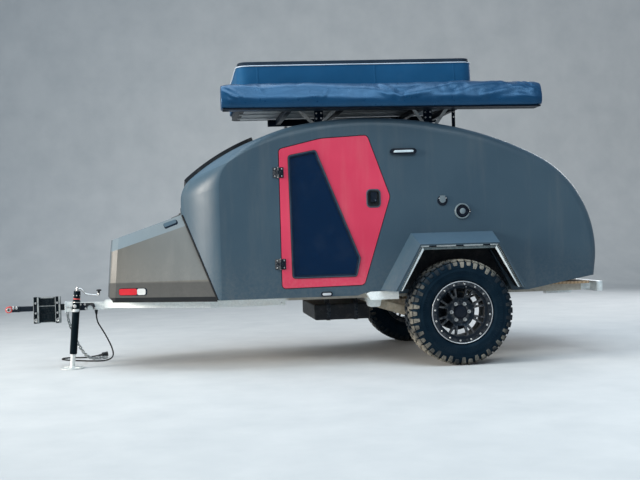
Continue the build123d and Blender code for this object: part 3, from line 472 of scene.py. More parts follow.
def prism(bm, outline, y0, y1):
    """Plate with an (x, z) outline in millimetres, between two distances across the trailer."""
    rows = [[bm.verts.new(mm(x, y, z)) for x, z in outline] for y in (y0, y1)]
    capped(bm, rows)


def soften(bm, width, segments=2, limit=30):
    """Rounds the sharp edges by a width in millimetres."""
    bmesh.ops.recalc_face_normals(bm, faces=bm.faces)
    sharp = [e for e in bm.edges if len(e.link_faces) == 2 and e.calc_face_angle(0) > math.radians(limit)]
    bmesh.ops.bevel(
        bm, geom=sharp, offset=width / 1000, segments=segments, profile=0.6, affect="EDGES",
        clamp_overlap=True, offset_type="OFFSET",
    )


def place(obj, body, slot=None, stands_for=()):
    """Links a piece, lets it ride on a body and hides the CAD parts it stands for."""
    if obj.name not in scene.collection.objects:
        scene.collection.objects.link(obj)
    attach(obj, body)
    if stands_for:
        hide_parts(*stands_for)
    return obj


def piece(name, bm, body, look, slot=None, stands_for=(), sharp=30, weld=False):
    """A mesh object made from a bmesh, smooth except at edges over sharp degrees, in one or more looks."""
    if weld:
        bmesh.ops.remove_doubles(bm, verts=bm.verts, dist=1e-6)
    bmesh.ops.recalc_face_normals(bm, faces=bm.faces)
    mesh = bpy.data.meshes.new(name)
    bm.to_mesh(mesh)
    bm.free()
    for one in [look] if isinstance(look, str) else look:
        mesh.materials.append(mats[one])
    mesh.shade_smooth()
    mesh.set_sharp_from_angle(angle=math.radians(sharp))
    return place(bpy.data.objects.new(name, mesh), body, slot, stands_for)


def dress(look, *names):
    """Gives CAD nodes that stay visible their look."""
    material = mats[look]
    for name in names:
        mesh = nodes[name].data
        if not mesh.materials:
            mesh.materials.append(material)
        for i in range(len(mesh.materials)):
            mesh.materials[i] = material


def refined(node, look, width):
    """A copy of a CAD node with edges rounded by a width in millimetres, which stands for the node."""
    bm = bmesh.new()
    bm.from_mesh(nodes[node].data)
    bmesh.ops.remove_doubles(bm, verts=bm.verts, dist=2e-5)
    bmesh.ops.dissolve_limit(bm, angle_limit=math.radians(0.5), verts=bm.verts, edges=bm.edges)
    soften(bm, width)
    piece(node + "_detail", bm, nodes[node]["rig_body"], look, slot_of[node], stands_for=(node,))


slot_of = {row["node"]: row["material_slot"] for row in frame["record"]["subparts"]}


def rings_to_faces(bm, rings, closed=True):
    """Faces between neighbouring rings of vertices, or between open rows."""
    for low, up in zip(rings, rings[1:]):
        for i in range(len(low) if closed else len(low) - 1):
            k = (i + 1) % len(low)
            bm.faces.new((low[i], low[k], up[k], up[i]))


def capped(bm, rings):
    """Faces between rings of vertices and over the first and the last ring."""
    rings_to_faces(bm, rings)
    bm.faces.new(rings[0])
    bm.faces.new(rings[-1])


def circle(count, turn=0.0):
    """Cosine and sine of directions evenly spaced round a circle."""
    for i in range(count):
        a = 2 * math.pi * i / count + turn
        yield math.cos(a), math.sin(a)


def along_and_across(axis):
    """Unit vectors along an axis and in two directions across it."""
    out = Vector(axis).normalized()
    side = out.orthogonal().normalized()
    return out, side, out.cross(side)


def tube_ring(bm, points, radius, sides=8, closed=True, up=(0, 0, 1)):
    """Round tube along a line of points that nowhere runs along up."""
    count = len(points)
    rings = []
    for i, point in enumerate(points):
        before = points[(i - 1) % count] if closed or i else point
        after = points[(i + 1) % count] if closed or i < count - 1 else point
        along = (after - before).normalized()
        side = along.cross(Vector(up)).normalized()
        top = side.cross(along).normalized()
        rings.append([bm.verts.new(point + side * (radius * c) + top * (radius * s))
                      for c, s in circle(sides)])
    rings_to_faces(bm, rings + rings[:1] if closed else rings)
    if not closed:
        bm.faces.new(rings[0])
        bm.faces.new(list(reversed(rings[-1])))


def lathe(bm, profile, centre, axis, steps=48, closed=True):
    """(radius, height) profile turned round an axis that passes through centre."""
    out, side, other = along_and_across(axis)
    foot = Vector(centre)
    rings = []
    for c, s in circle(steps):
        ray = side * c + other * s
        rings.append([bm.verts.new(foot + ray * r + out * h) for r, h in profile])
    rings_to_faces(bm, rings + rings[:1], closed)


def hex_head(bm, at, radius, height, axis, washer=1.35, turn=0.0):
    """Hexagon bolt head with a chamfered top on a round washer, standing along axis."""
    out, side, other = along_and_across(axis)
    foot = Vector(at)

    def raised(sides, shape):
        rows = []
        for r, up in shape:
            rows.append([bm.verts.new(foot + side * (r * c) + other * (r * s) + out * (height * up))
                         for c, s in circle(sides, turn)])
        rings_to_faces(bm, rows)
        bm.faces.new(rows[-1])

    wide = radius * washer
    if washer > 1:
        raised(20, ((wide, 0.0), (wide, 0.16), (wide * 0.93, 0.22)))
    raised(6, ((radius, 0.1), (radius, 0.82), (radius * 0.80, 1.0)))


def dome_head(bm, at, radius, height, axis, hollow=0.0):
    """Low round-headed screw, with an optional key hole."""
    out, side, other = along_and_across(axis)
    foot = Vector(at)
    shape = [(1.0, 0.0), (1.0, 0.35), (0.90, 0.72), (0.66, 0.95), (0.45, 1.0)]
    if hollow:
        shape += [(hollow, 0.98), (hollow * 0.9, 0.35)]
    rows = []
    for share, up in shape:
        r = radius * share
        rows.append([bm.verts.new(foot + side * (r * c) + other * (r * s) + out * (height * up))
                     for c, s in circle(16)])
    rings_to_faces(bm, rows)
    bm.faces.new(rows[-1])


for node_name, slot_name in slot_of.items():
    dress(slot_name, node_name)
dress("nose_paint_painted_lit", "nose_lid")
dress("beige_steel", "trailing_arms")
dress("rail_zinc", "frame_rails")
dress("zinc_painted_lit", "suspension_mounts", "drawbar_legs")


# Brake and light cable, and the safety chain

CABLE_ROUTE = (
    (-2866, 0, 430), (-2866, 0, 375), (-2823, 50, 294), (-2779, 100, 200), (-2748, 165, 106),
    (-2752, 228, 40), (-2809, 262, 8), (-2905, 258, 7), (-3001, 316, 7), (-3085, 368, 7), (-3165, 430, 7),
    (-3222, 510, 7), (-3212, 585, 7), (-3150, 615, 7), (-3060, 570, 7), (-2975, 545, 12), (-2905, 556, 22),
)
CHAIN_ROUTE = (
    (-3100, -15, 460.4), (-3100, -15, 420), (-3090, 8, 360), (-3072, 50, 290), (-3044, 105, 200),
    (-3012, 165, 120), (-2985, 240, 65), (-2962, 320, 36), (-2940, 400, 14), (-2893, 452, 13),
    (-2830, 478, 13),
)


def run_curve(name, route, bevel=0.0, order=3):
    """Smooth curve with the route's points as its control points."""
    curve = bpy.data.curves.new(name, "CURVE")
    curve.dimensions = "3D"
    curve.bevel_depth = bevel
    curve.bevel_resolution = 5
    curve.resolution_u = 14
    curve.use_fill_caps = True
    spline = curve.splines.new("NURBS")
    spline.points.add(len(route) - 1)
    for point, place_at in zip(spline.points, route):
        point.co = (*mm(*place_at), 1)
    spline.order_u = order
    spline.use_endpoint_u = True
    return bpy.data.objects.new(name, curve)


def make_cable():
    """Cable with the ribbed plug at its end and the gland that it hangs from."""
    start, end = mm(*CABLE_ROUTE[0]), mm(*CABLE_ROUTE[-1])
    heading = (end - mm(*CABLE_ROUTE[-2])).normalized()
    bm = bmesh.new()
    profile = [(0.0, -0.001), (0.0076, -0.001)]
    for i in range(5):
        r = 0.0082 + 0.0006 * i
        profile += [(r, 0.002 + 0.0052 * i), (r, 0.0048 + 0.0052 * i), (r - 0.0016, 0.0052 + 0.0052 * i)]
    profile += [(0.0112, 0.0295), (0.0175, 0.0320), (0.0200, 0.0350), (0.0200, 0.0420), (0.0186, 0.0430),
                (0.0186, 0.0720), (0.0208, 0.0735), (0.0208, 0.0835), (0.0190, 0.0850), (0.0170, 0.0850),
                (0.0165, 0.0700), (0.0, 0.0700)]
    lathe(bm, profile, end, heading, 28, False)
    side = heading.cross(Vector((0, 0, 1))).normalized()
    top = side.cross(heading)
    for i in range(12):
        a = 2 * math.pi * i / 12
        ray = side * math.cos(a) + top * math.sin(a)
        foot = end + ray * 0.0182 + heading * 0.0445
        tube_ring(bm, [foot, foot + heading * 0.026], 0.0014, 6, False)
    for px, py in ((0, 0), (0.008, 0), (-0.008, 0), (0.004, 0.007), (-0.004, 0.007), (0.004, -0.007),
                   (-0.004, -0.007)):
        lathe(bm, [(0.0, 0.0), (0.0018, 0.0), (0.0018, 0.009), (0.0008, 0.0105), (0.0, 0.0105)],
              end + heading * 0.0700 + side * px + top * py, heading, 8, False)
    plug = piece("cable_plug", bm, "trailer", "black_plastic", "black_plastic", stands_for=("cable_ends",),
                 weld=True)
    bm = bmesh.new()
    lathe(bm, [(0.0060, -0.002), (0.0078, -0.002), (0.0088, 0.003), (0.0100, 0.010), (0.0112, 0.016),
               (0.0128, 0.017), (0.0128, 0.024), (0.0112, 0.025), (0.0112, 0.0400), (0.0, 0.0400)], start,
               (0, 0, 1), 24,
               False)
    lathe(bm, [(0.0, 0.027), (0.0138, 0.027), (0.0146, 0.0285), (0.0146, 0.0355), (0.0138, 0.037),
               (0.0, 0.037)],
          start, (0, 0, 1), 6, False)
    gland = piece("cable_gland", bm, "trailer", "black_plastic", "black_plastic",
                  stands_for=("cable_ends",), weld=True)
    cable = run_curve("cable_run", CABLE_ROUTE, 0.006)
    cable.data.materials.append(mats["seal_rubber"])
    place(cable, "trailer", "seal_rubber", ("cable",))


def along_route(route, spacing):
    """Points a fixed distance apart on a route's smooth line, with its direction there."""
    probe = run_curve("route_probe", route)
    line = bpy.data.meshes.new_from_object(probe)
    points = [v.co.copy() for v in line.vertices]
    curve = probe.data
    bpy.data.objects.remove(probe)
    bpy.data.curves.remove(curve)
    bpy.data.meshes.remove(line)
    spots, ahead = [], spacing / 2
    for a, b in zip(points, points[1:]):
        span = (b - a).length
        while ahead <= span:
            spots.append((a.lerp(b, ahead / span), (b - a).normalized()))
            ahead += spacing
        ahead -= span
    return spots


def make_chain():
    """Welded links, each turned a quarter against the last, from the receiver to the ground."""
    wire, inner, half = 0.0044, 0.0300, 0.0096
    straight_half = inner / 2 - half + wire
    ring = []
    for i in range(20):
        a = 2 * math.pi * i / 20
        shift = straight_half if math.cos(a) >= 0 else -straight_half
        ring.append((half * math.cos(a) + shift, half * math.sin(a)))
    bm = bmesh.new()
    side = Vector((0, 1, 0))
    for number, (centre, along) in enumerate(along_route(CHAIN_ROUTE, inner)):
        side = (side - along * side.dot(along)).normalized()
        lay = Matrix.Rotation(math.radians(45 + 90 * (number % 2) + 9 * math.sin(number * 1.7)), 3, along)
        flat = lay @ side
        line = [centre + along * u + flat * v for u, v in ring]
        tube_ring(bm, line, wire, 8, True, flat.cross(along))
    piece("safety_chain_links", bm, "trailer", "chain_zinc", "galvanised", stands_for=("safety_chain",),
          sharp=60)


make_cable()
make_chain()


# Floor and light


def make_stage():
    """Pale floor that curves up into a backdrop."""
    floor_look = Look("stage_floor", Specular_IOR_Level=0.25)
    floor_look.colour(two_tone(floor_look, (0.455, 0.47, 0.475), (0.515, 0.525, 0.525), 2.5, 6))
    floor_look.roughness(floor_look.noise(8, 5), 0.62, 0.8)
    bm = bmesh.new()
    half, back_y, high = 16.0, 8.0, 9.0
    rows = [(-half, 0.0)]
    rows += [(back_y + 3 * math.sin(a), 3 - 3 * math.cos(a))
             for a in (math.radians(7.5 * i) for i in range(13))]
    rows += [(back_y + 3, high)]
    grid = [[bm.verts.new((x, y, z)) for x in (-half, half)] for y, z in rows]
    for low, up in zip(grid, grid[1:]):
        bm.faces.new((low[0], low[1], up[1], up[0]))
    mesh = bpy.data.meshes.new("studio_floor")
    bm.to_mesh(mesh)
    bm.free()
    mesh.shade_smooth()
    mesh.materials.append(floor_look.material)
    floor = bpy.data.objects.new("studio_floor", mesh)
    scene.collection.objects.link(floor)


def area_light(name, where, target, size, power, tint=(1, 1, 1), spread=180):
    """Rectangular lamp that faces a target."""
    data = bpy.data.lights.new(name, "AREA")
    data.shape = "RECTANGLE"
    data.size, data.size_y = size
    data.energy = power
    data.color = tint
    data.spread = math.radians(spread)
    lamp = bpy.data.objects.new(name, data)
    lamp.location = where
    lamp.rotation_euler = (Vector(target) - Vector(where)).to_track_quat("-Z", "Y").to_euler()
    scene.collection.objects.link(lamp)


def make_lights():
    """Soft overall light with a little more from the front."""
    world = bpy.data.worlds.new("studio_world")
    world.use_nodes = True
    scene.world = world
    tree = world.node_tree
    ground = tree.nodes["Background"]
    ground.inputs[0].default_value = (0.76, 0.87, 1.0, 1)
    ground.inputs[1].default_value = 0.48
    area_light("overhead", (-1.0, -1.0, 7.0), (0, 0, 0.8), (7, 5), 420, (0.80, 0.92, 1.0))
    area_light("front_left", (-13.5, -3.0, 3.9), (-1.0, 0, 1.0), (5, 4), 690, (1.0, 0.93, 0.84), 85)
    area_light("side_fill", (1.5, -7.0, 6.6), (0.0, 0, 1.0), (6, 3), 330, (0.80, 0.92, 1.0))
    area_light("rear_fill", (6.5, 5.5, 4.0), (0.5, 0, 1.0), (4, 3), 220, (0.95, 0.97, 1.0))
    scene.view_settings.view_transform = "Standard"


make_stage()
make_lights()


# Wheels

WHEEL_Y = 0.9325
TYRE_RADIUS = 0.412
TREAD_PITCHES = 22


def around_hub(bm, count, make):
    """Repeats what make(bm) builds at the top of the wheel, count times round it."""
    source = bmesh.new()
    make(source)
    part = bpy.data.meshes.new("one_pitch")
    source.to_mesh(part)
    source.free()
    for i in range(count):
        before = len(bm.verts)
        bm.from_mesh(part)
        bm.verts.ensure_lookup_table()
        turn = Matrix.Rotation(2 * math.pi * i / count, 4, "Y")
        bmesh.ops.transform(bm, matrix=turn, verts=bm.verts[before:])
    bpy.data.meshes.remove(part)


def turned(bm, profile, steps=160):
    """Closed (radius, outward distance) profile turned round the wheel's axis."""
    rings = [[bm.verts.new((r * s, t, r * c)) for r, t in profile] for c, s in circle(steps)]
    rings_to_faces(bm, rings + rings[:1])


def lug(bm, outline, top, depth):
    """Tread block: (round, across) outline in metres, raised to top(across), rounded at its edges."""
    upper, lower = [], []
    for u, t in outline:
        r = top(t)
        a = u / TYRE_RADIUS
        upper.append(bm.verts.new((r * math.sin(a), t, r * math.cos(a))))
        r -= depth
        lower.append(bm.verts.new((r * math.sin(a * 1.06), t, r * math.cos(a * 1.06))))
    bm.faces.new(upper)
    for i in range(len(outline)):
        k = (i + 1) % len(outline)
        bm.faces.new((upper[i], lower[i], lower[k], upper[k]))


def wrapped_block(bm, path, depth, widths, shift, side):
    """Block that follows a (radius, across) path over the shoulder, set into the carcass by depth."""
    bands = []
    for i, ((r, t), w) in enumerate(zip(path, widths)):
        (ra, ta), (rb, tb) = path[max(0, i - 1)], path[min(len(path) - 1, i + 1)]
        length = math.hypot(rb - ra, tb - ta)
        in_r, in_t = -(tb - ta) / length, (rb - ra) / length
        base_r, base_t = r + in_r * depth, t + in_t * depth
        row = []
        for u, rr, tt in ((-w, base_r, base_t), (-w, r, t), (w, r, t), (w, base_r, base_t)):
            a = (u + shift) / TYRE_RADIUS
            row.append(bm.verts.new((rr * math.sin(a), side * tt, rr * math.cos(a))))
        bands.append(row)
    rings_to_faces(bm, bands, False)
    bm.faces.new(bands[0])
    bm.faces.new(list(reversed(bands[-1])))


def shoulder_lug(bm, start, end_r, half, shift, side):
    """Tread-edge block and the sidewall block below it, parted by a groove at the shoulder."""
    tread = [(0.4118, start), (0.4112, 0.098), (0.4060, 0.1170), (0.4000, 0.1255)]
    wrapped_block(bm, tread, 0.0135, [half, half, half * 0.97, half * 0.92], shift, side)
    flank = [(0.3930, 0.1325), (0.3820, 0.1392), (0.5 * (0.382 + end_r), 0.1422), (end_r, 0.1428)]
    wrapped_block(bm, flank, 0.0075, [half * 0.84, half * 0.84, half * 0.78, half * 0.62], shift + 0.003,
                  side)


def crown(t):
    """Radius of the tread at a distance across it."""
    return TYRE_RADIUS - 0.0012 * (t / 0.098) ** 2


def tread_pitch(bm):
    """One repeat of the tread: four shoulder lugs and four centre blocks."""
    pitch = 2 * math.pi * TYRE_RADIUS / TREAD_PITCHES
    for side in (-1, 1):
        offset = 0.0 if side > 0 else pitch * 0.25
        shoulder_lug(bm, 0.071, 0.347, 0.0205, offset - pitch * 0.25, side)
        shoulder_lug(bm, 0.083, 0.364, 0.0215, offset + pitch * 0.25, side)
        for i, (inner, outer) in enumerate(((0.006, 0.060), (0.010, 0.072))):
            middle = offset + pitch * (0.5 * i - 0.5) + 0.006
            outline = [
                (middle - 0.021, side * (inner + 0.004)), (middle + 0.011, side * inner),
                (middle + 0.022, side * (inner + 0.020)), (middle + 0.016, side * (outer - 0.014)),
                (middle + 0.022, side * (outer - 0.002)), (middle - 0.014, side * outer),
                (middle - 0.021, side * (outer - 0.020)), (middle - 0.013, side * (inner + 0.024)),
            ]
            lug(bm, outline, crown, 0.0135)
    bmesh.ops.recalc_face_normals(bm, faces=bm.faces)
    sharp = [e for e in bm.edges if len(e.link_faces) == 2 and e.calc_face_angle(0) > math.radians(35)]
    bmesh.ops.bevel(bm, geom=sharp, offset=0.0016, segments=1, profile=0.5, affect="EDGES",
                    clamp_overlap=True)


def sidewall_ribs(bm):
    """Short raised bars round the lower sidewall."""
    for side in (-1, 1):
        row = []
        for w, r in ((0.0012, 0.300), (0.0012, 0.318)):
            for u in (-w, w):
                a = u / r
                y = 0.1424 if r > 0.31 else 0.1412
                row.append(bm.verts.new((r * math.sin(a), side * (y + 0.0009), r * math.cos(a))))
                row.append(bm.verts.new((r * math.sin(a * 1.5), side * (y - 0.002), r * math.cos(a * 1.5))))
        a, ab, b, bb, c, cb, d, db = row
        for face in ((a, b, d, c), (a, c, cb, ab), (b, bb, db, d), (a, ab, bb, b), (c, d, db, cb)):
            bm.faces.new(face)


def make_tyres():
    """Carcass, tread and sidewall ribs of both tyres."""
    half = [
        (0.3990, 0.0), (0.3990, 0.060), (0.3978, 0.098), (0.3930, 0.1150), (0.3830, 0.1290),
        (0.3640, 0.1375), (0.3500, 0.1402), (0.3490, 0.1418), (0.3450, 0.1420), (0.3440, 0.1408),
        (0.3230, 0.1418), (0.3215, 0.1424), (0.3180, 0.1425), (0.3160, 0.1418), (0.3000, 0.1404),
        (0.2820, 0.1362), (0.2790, 0.1366), (0.2740, 0.1352), (0.2640, 0.1300), (0.2540, 0.1245),
        (0.2480, 0.1170), (0.2450, 0.1126), (0.2173, 0.1126), (0.2173, 0.0920), (0.2400, 0.0970),
        (0.3000, 0.1270), (0.3640, 0.1270), (0.3880, 0.1040), (0.3930, 0.0600),
    ]
    profile = half + [(0.3935, 0.0)] + [(r, -t) for r, t in reversed(half[1:])]
    for side, name in SIDES:
        bm = bmesh.new()
        turned(bm, profile, 168)
        carcass = len(bm.faces)
        around_hub(bm, TREAD_PITCHES, tread_pitch)
        bm.faces.ensure_lookup_table()
        for i in range(carcass, len(bm.faces)):
            bm.faces[i].material_index = 1
        around_hub(bm, 96, sidewall_ribs)
        if side > 0:
            bmesh.ops.transform(bm, matrix=Matrix.Rotation(math.pi, 4, "Z"), verts=bm.verts)
        bmesh.ops.translate(bm, verts=bm.verts, vec=(AXLE_X, side * WHEEL_Y, TYRE_RADIUS))
        piece(f"tyre_{name}_tread", bm, f"wheel_{name}", ["tyre_rubber", "tyre_lugs"], "tyre_rubber",
              stands_for=(f"tyre_{name}",), sharp=32)


make_tyres()


def make_wheel_metal():
    """Bright lip, ring bolts, wheel nuts, centre cap, valve and polished barrel band of each wheel."""
    for side, name in SIDES:
        hub = Vector((AXLE_X, side * WHEEL_Y, TYRE_RADIUS))
        out = Vector((0, side, 0))
        body = f"wheel_{name}"

        def at(r, angle, t):
            a = math.radians(angle)
            return hub + Vector((r * math.sin(a), side * t, r * math.cos(a)))

        bm = bmesh.new()
        lathe(bm, [(0.2372, 0.1262), (0.2372, 0.1282), (0.2390, 0.1292), (0.2425, 0.1286), (0.2442, 0.1268),
                   (0.2442, 0.1200), (0.2430, 0.1196), (0.2430, 0.1255)], hub, out, 160)
        piece(f"rim_lip_{name}", bm, body, "aluminium", "bright_steel", weld=True)
        bm = bmesh.new()
        for i in range(16):
            hex_head(bm, at(0.2195, 22.5 * i + 6, 0.1279), 0.0062, 0.0075, out, 1.25, i)
        for i in range(6):
            spot = at(0.06985, 60 * i + 30 * (side < 0), 0.0619)
            lathe(bm, [(0.0, 0.0), (0.0125, 0.0), (0.0135, 0.003), (0.0135, 0.0), (0.0150, 0.0),
                       (0.0150, 0.004), (0.0110, 0.005), (0.0110, 0.024), (0.0088, 0.029), (0.0, 0.030)],
                       spot, out, 6,
                       False)
        lathe(bm, [(0.0, 0.0), (0.0045, 0.0), (0.0045, 0.022), (0.0030, 0.024), (0.0030, 0.030),
                   (0.0, 0.030)],
              at(0.2000, 11, 0.0920), out, 14, False)
        piece(f"wheel_bolts_{name}", bm, body, "bright_steel", "bright_steel", weld=True)
        bm = bmesh.new()
        lathe(bm, [(0.0, 0.0615), (0.0540, 0.0615), (0.0540, 0.0720), (0.0515, 0.0750), (0.0480, 0.0752),
                   (0.0470, 0.0735), (0.0445, 0.0735), (0.0430, 0.0760), (0.0300, 0.0792), (0.0, 0.0800)],
              hub, out, 64, False)
        for i in range(6):
            around = 60 * i + 12
            lathe(bm, [(0.0, 0.0), (0.0024, 0.0), (0.0024, 0.0016), (0.0, 0.0020)],
                  at(0.0498, around, 0.0750), out, 10, False)
        piece(f"wheel_cap_{name}", bm, body, "gloss_black", "gloss_black", sharp=28, weld=True)
        bm = bmesh.new()
        lathe(bm, [(0.1865, -0.0550), (0.1872, -0.0550), (0.1878, 0.0150), (0.2000, 0.0360),
                   (0.1990, 0.0375), (0.1866, 0.0165)],
              hub, out, 120)
        piece(f"rim_band_{name}", bm, body, "aluminium", "bright_steel", weld=True)


make_wheel_metal()


# Roof load

TENT_FRONT, TENT_REAR, TENT_HALF = -1670.0, 255.0, 670.0
RACK_TOP = 2102.0
RACK_TILT = math.radians(0.8)


def on_rack(x, y, z):
    """Shared-frame point of a place on the rack, which rises towards the rear."""
    dx, dz = x - TENT_FRONT, z - RACK_TOP
    turned_x = TENT_FRONT + dx * math.cos(RACK_TILT) - dz * math.sin(RACK_TILT)
    turned_z = RACK_TOP + dx * math.sin(RACK_TILT) + dz * math.cos(RACK_TILT)
    return Vector((at_axle(turned_x), y / 1000, turned_z / 1000))


def plan_ring(outset, radius, step=26.0):
    """Points of the tent's rounded plan, each with its outward direction."""
    x0, x1 = TENT_FRONT - outset, TENT_REAR + outset
    half = TENT_HALF + outset
    r = radius + outset
    corners = [(x1 - r, half - r, 0), (x0 + r, half - r, 90), (x0 + r, r - half, 180),
               (x1 - r, r - half, 270)]
    ring = []
    for i, (cx, cy, start) in enumerate(corners):
        for j in range(9):
            a = math.radians(start + 90 * j / 8)
            ring.append((cx + r * math.cos(a), cy + r * math.sin(a), math.cos(a), math.sin(a)))
        nx, ny, _ = corners[(i + 1) % 4]
        a = math.radians(start + 90)
        ax, ay = cx + r * math.cos(a), cy + r * math.sin(a)
        bx, by = nx + r * math.cos(a), ny + r * math.sin(a)
        count = max(2, round(math.hypot(bx - ax, by - ay) / step))
        for j in range(1, count):
            u = j / count
            ring.append((ax + (bx - ax) * u, ay + (by - ay) * u, math.cos(a), math.sin(a)))
    return ring


def cloth_swell(x, y, share):
    """How far the tent cover stands out of its plain wall, in millimetres."""
    swell = 3.5 * math.sin(math.pi * share) - 2.0
    swell += 4.0 * noise.noise(Vector((x * 0.0021, y * 0.0021, share * 1.3)))
    swell += 1.6 * noise.noise(Vector((x * 0.009 + share * 2.0, y * 0.009, share * 3.0 + 7)))
    diagonal = (x + 900 * share + 140 * math.sin(x * 0.004)) * 0.011
    swell += 1.1 * max(0.0, math.sin(diagonal)) ** 3 * math.sin(math.pi * share)
    corner = min(abs(x - TENT_FRONT), abs(x - TENT_REAR))
    pull = max(0.0, 1 - corner / 260)
    swell += 1.8 * pull * math.sin(x * 0.09 + y * 0.09) * share
    return swell


TENT_WALL = (2152.5, 2394.5)


def tent_wall_z(share):
    """Height at a share of the tent cover's wall."""
    return TENT_WALL[0] + (TENT_WALL[1] - TENT_WALL[0]) * share


def tent_ring(bm, z, out, outset=0, radius=95):
    """Ring of vertices round the tent's plan at a height, moved outwards."""
    return [bm.verts.new(on_rack(x + nx * out, y + ny * out, z))
            for x, y, nx, ny in plan_ring(outset, radius)]


def make_tent_cover():
    """Cloth wall with its turned-in hems."""
    bm = bmesh.new()
    shares = [0.0, 0.012, 0.03, 0.07, 0.14, 0.22, 0.31, 0.41, 0.52, 0.63, 0.74, 0.84, 0.91, 0.96, 0.99, 1.0]
    rings = []
    for share in shares:
        z = tent_wall_z(share)
        hem = 2.0 if share < 0.02 else 0.0
        row = []
        for x, y, nx, ny in plan_ring(0, 95):
            out = cloth_swell(x, y, share) + hem
            row.append(bm.verts.new(on_rack(x + nx * out, y + ny * out, z)))
        rings.append(row)
    rings_to_faces(bm, rings)
    for share, order in ((0.0, 1), (1.0, -1)):
        z = tent_wall_z(share)
        inner = tent_ring(bm, z, -60)
        outer = rings[0] if order > 0 else rings[-1]
        rings_to_faces(bm, [outer, inner])
        bm.faces.new(inner)
    piece("tent_cover_cloth", bm, "trailer", "cover_fabric", "cover_fabric", stands_for=("tent_cover",),
          sharp=50, weld=True)


def make_tent_piping():
    """Pale piping below the lid and a cord at the hem."""
    for name, look, z, out, radius in (
        ("tent_piping", "piping", 2391.5, 2.0, 4.4), ("tent_hem_cord", "cover_fabric", 2163.0, 1.0, 3.0),
    ):
        share = (z - TENT_WALL[0]) / (TENT_WALL[1] - TENT_WALL[0])
        line = []
        for x, y, nx, ny in plan_ring(0, 95):
            swell = cloth_swell(x, y, share) + out
            line.append(on_rack(x + nx * swell, y + ny * swell, z))
        bm = bmesh.new()
        tube_ring(bm, line, radius / 1000)
        piece(name, bm, "trailer", look, "cover_fabric", sharp=60, weld=True)


def make_tent_seams():
    """Upright double-stitched seams on the long sides."""
    bm = bmesh.new()
    for side in (-1, 1):
        for x in (-1505, -560, 95):
            rows = []
            for i in range(15):
                share = 0.02 + 0.95 * i / 14
                z = tent_wall_z(share)
                row = []
                for dx, lift in ((-7, -0.5), (-6, 1.3), (-0.9, 1.7), (0, 0.5), (0.9, 1.7), (6, 1.3),
                                 (7, -0.5)):
                    out = cloth_swell(x + dx, side * TENT_HALF, share) + lift
                    row.append(bm.verts.new(on_rack(x + dx, side * (TENT_HALF + out), z)))
                rows.append(row)
            rings_to_faces(bm, rows, False)
    piece("tent_seams", bm, "trailer", "cover_fabric", "cover_fabric", sharp=60, weld=True)


def make_tent_lid():
    """Dark lid with a rolled rim and a slack top."""
    bm = bmesh.new()
    profile = [(2395.0, -30), (2395.0, -6), (2396.0, 0.5), (2399.0, 2.0), (2404.0, 1.0), (2408.0, -2.5),
               (2418.0, -3.5), (2424.0, -6.0), (2428.0, -12.0), (2429.4, -22.0), (2429.8, -60.0)]
    rings = [tent_ring(bm, z, out, -8, 90) for z, out in profile]
    for shrink in (140, 240, 340, 440, 540, 640):
        row = []
        for x, y, _, _ in plan_ring(-8, 90):
            tight = max(0.0, 1 - shrink / 660)
            px = (TENT_FRONT + TENT_REAR) / 2
            nearer = 1 - shrink / 962
            slack = 1.6 * noise.noise(Vector((x * 0.004, y * tight * 0.006, shrink * 0.01)))
            row.append(bm.verts.new(on_rack(px + (x - px) * nearer, y * tight, 2428.0 + slack)))
        rings.append(row)
    capped(bm, rings)
    piece("tent_lid", bm, "trailer", "lid_fabric", "cover_fabric", stands_for=("tent_shells",), sharp=40,
          weld=True)


def make_tent_base():
    """Extruded base frame, light underside and the tracks that stand on the rack."""
    bm = bmesh.new()
    profile = [(2112.0, -110), (2112.0, -34), (2114.5, -31), (2114.5, -4), (2112.0, -2), (2112.0, 5),
               (2114.0, 6.5), (2120.0, 6.5), (2122.0, 4), (2134.0, 4), (2136.0, 6.5), (2149.0, 6.5),
               (2151.5, 4), (2152.0, -60)]
    capped(bm, [tent_ring(bm, z, out, -22, 80) for z, out in profile])
    piece("tent_base", bm, "trailer", "black_aluminium", "black_aluminium", weld=True)

    bm = bmesh.new()
    corners = [(TENT_FRONT + 90, -600), (TENT_FRONT + 90, 600), (TENT_REAR - 90, 600),
               (TENT_REAR - 90, -600)]
    rows = [[bm.verts.new(on_rack(x, y, z)) for x, y in corners] for z in (2112.2, 2110.6)]
    capped(bm, rows)
    piece("tent_underside", bm, "trailer", "white_film", weld=True)

    bm = bmesh.new()
    section = [(-20, 2112), (-20, 2103.5), (-18.5, 2102), (-7, 2102), (-7, 2104), (-13, 2104.5),
               (-13, 2110), (13, 2110), (13, 2104.5), (7, 2104), (7, 2102), (18.5, 2102), (20, 2103.5),
               (20, 2112)]
    for y in (-420, -150, 150, 420):
        ends = []
        for x in (TENT_FRONT + 60, TENT_REAR - 60):
            ends.append([bm.verts.new(on_rack(x, y + dy, z)) for dy, z in section])
        capped(bm, ends)
    piece("tent_tracks", bm, "trailer", "aluminium", "bright_steel", sharp=25, weld=True)


AWNING_FRONT, AWNING_REAR = -1811.0, 739.0
BAG_HEIGHT, FOLD_REACH = 215, 60
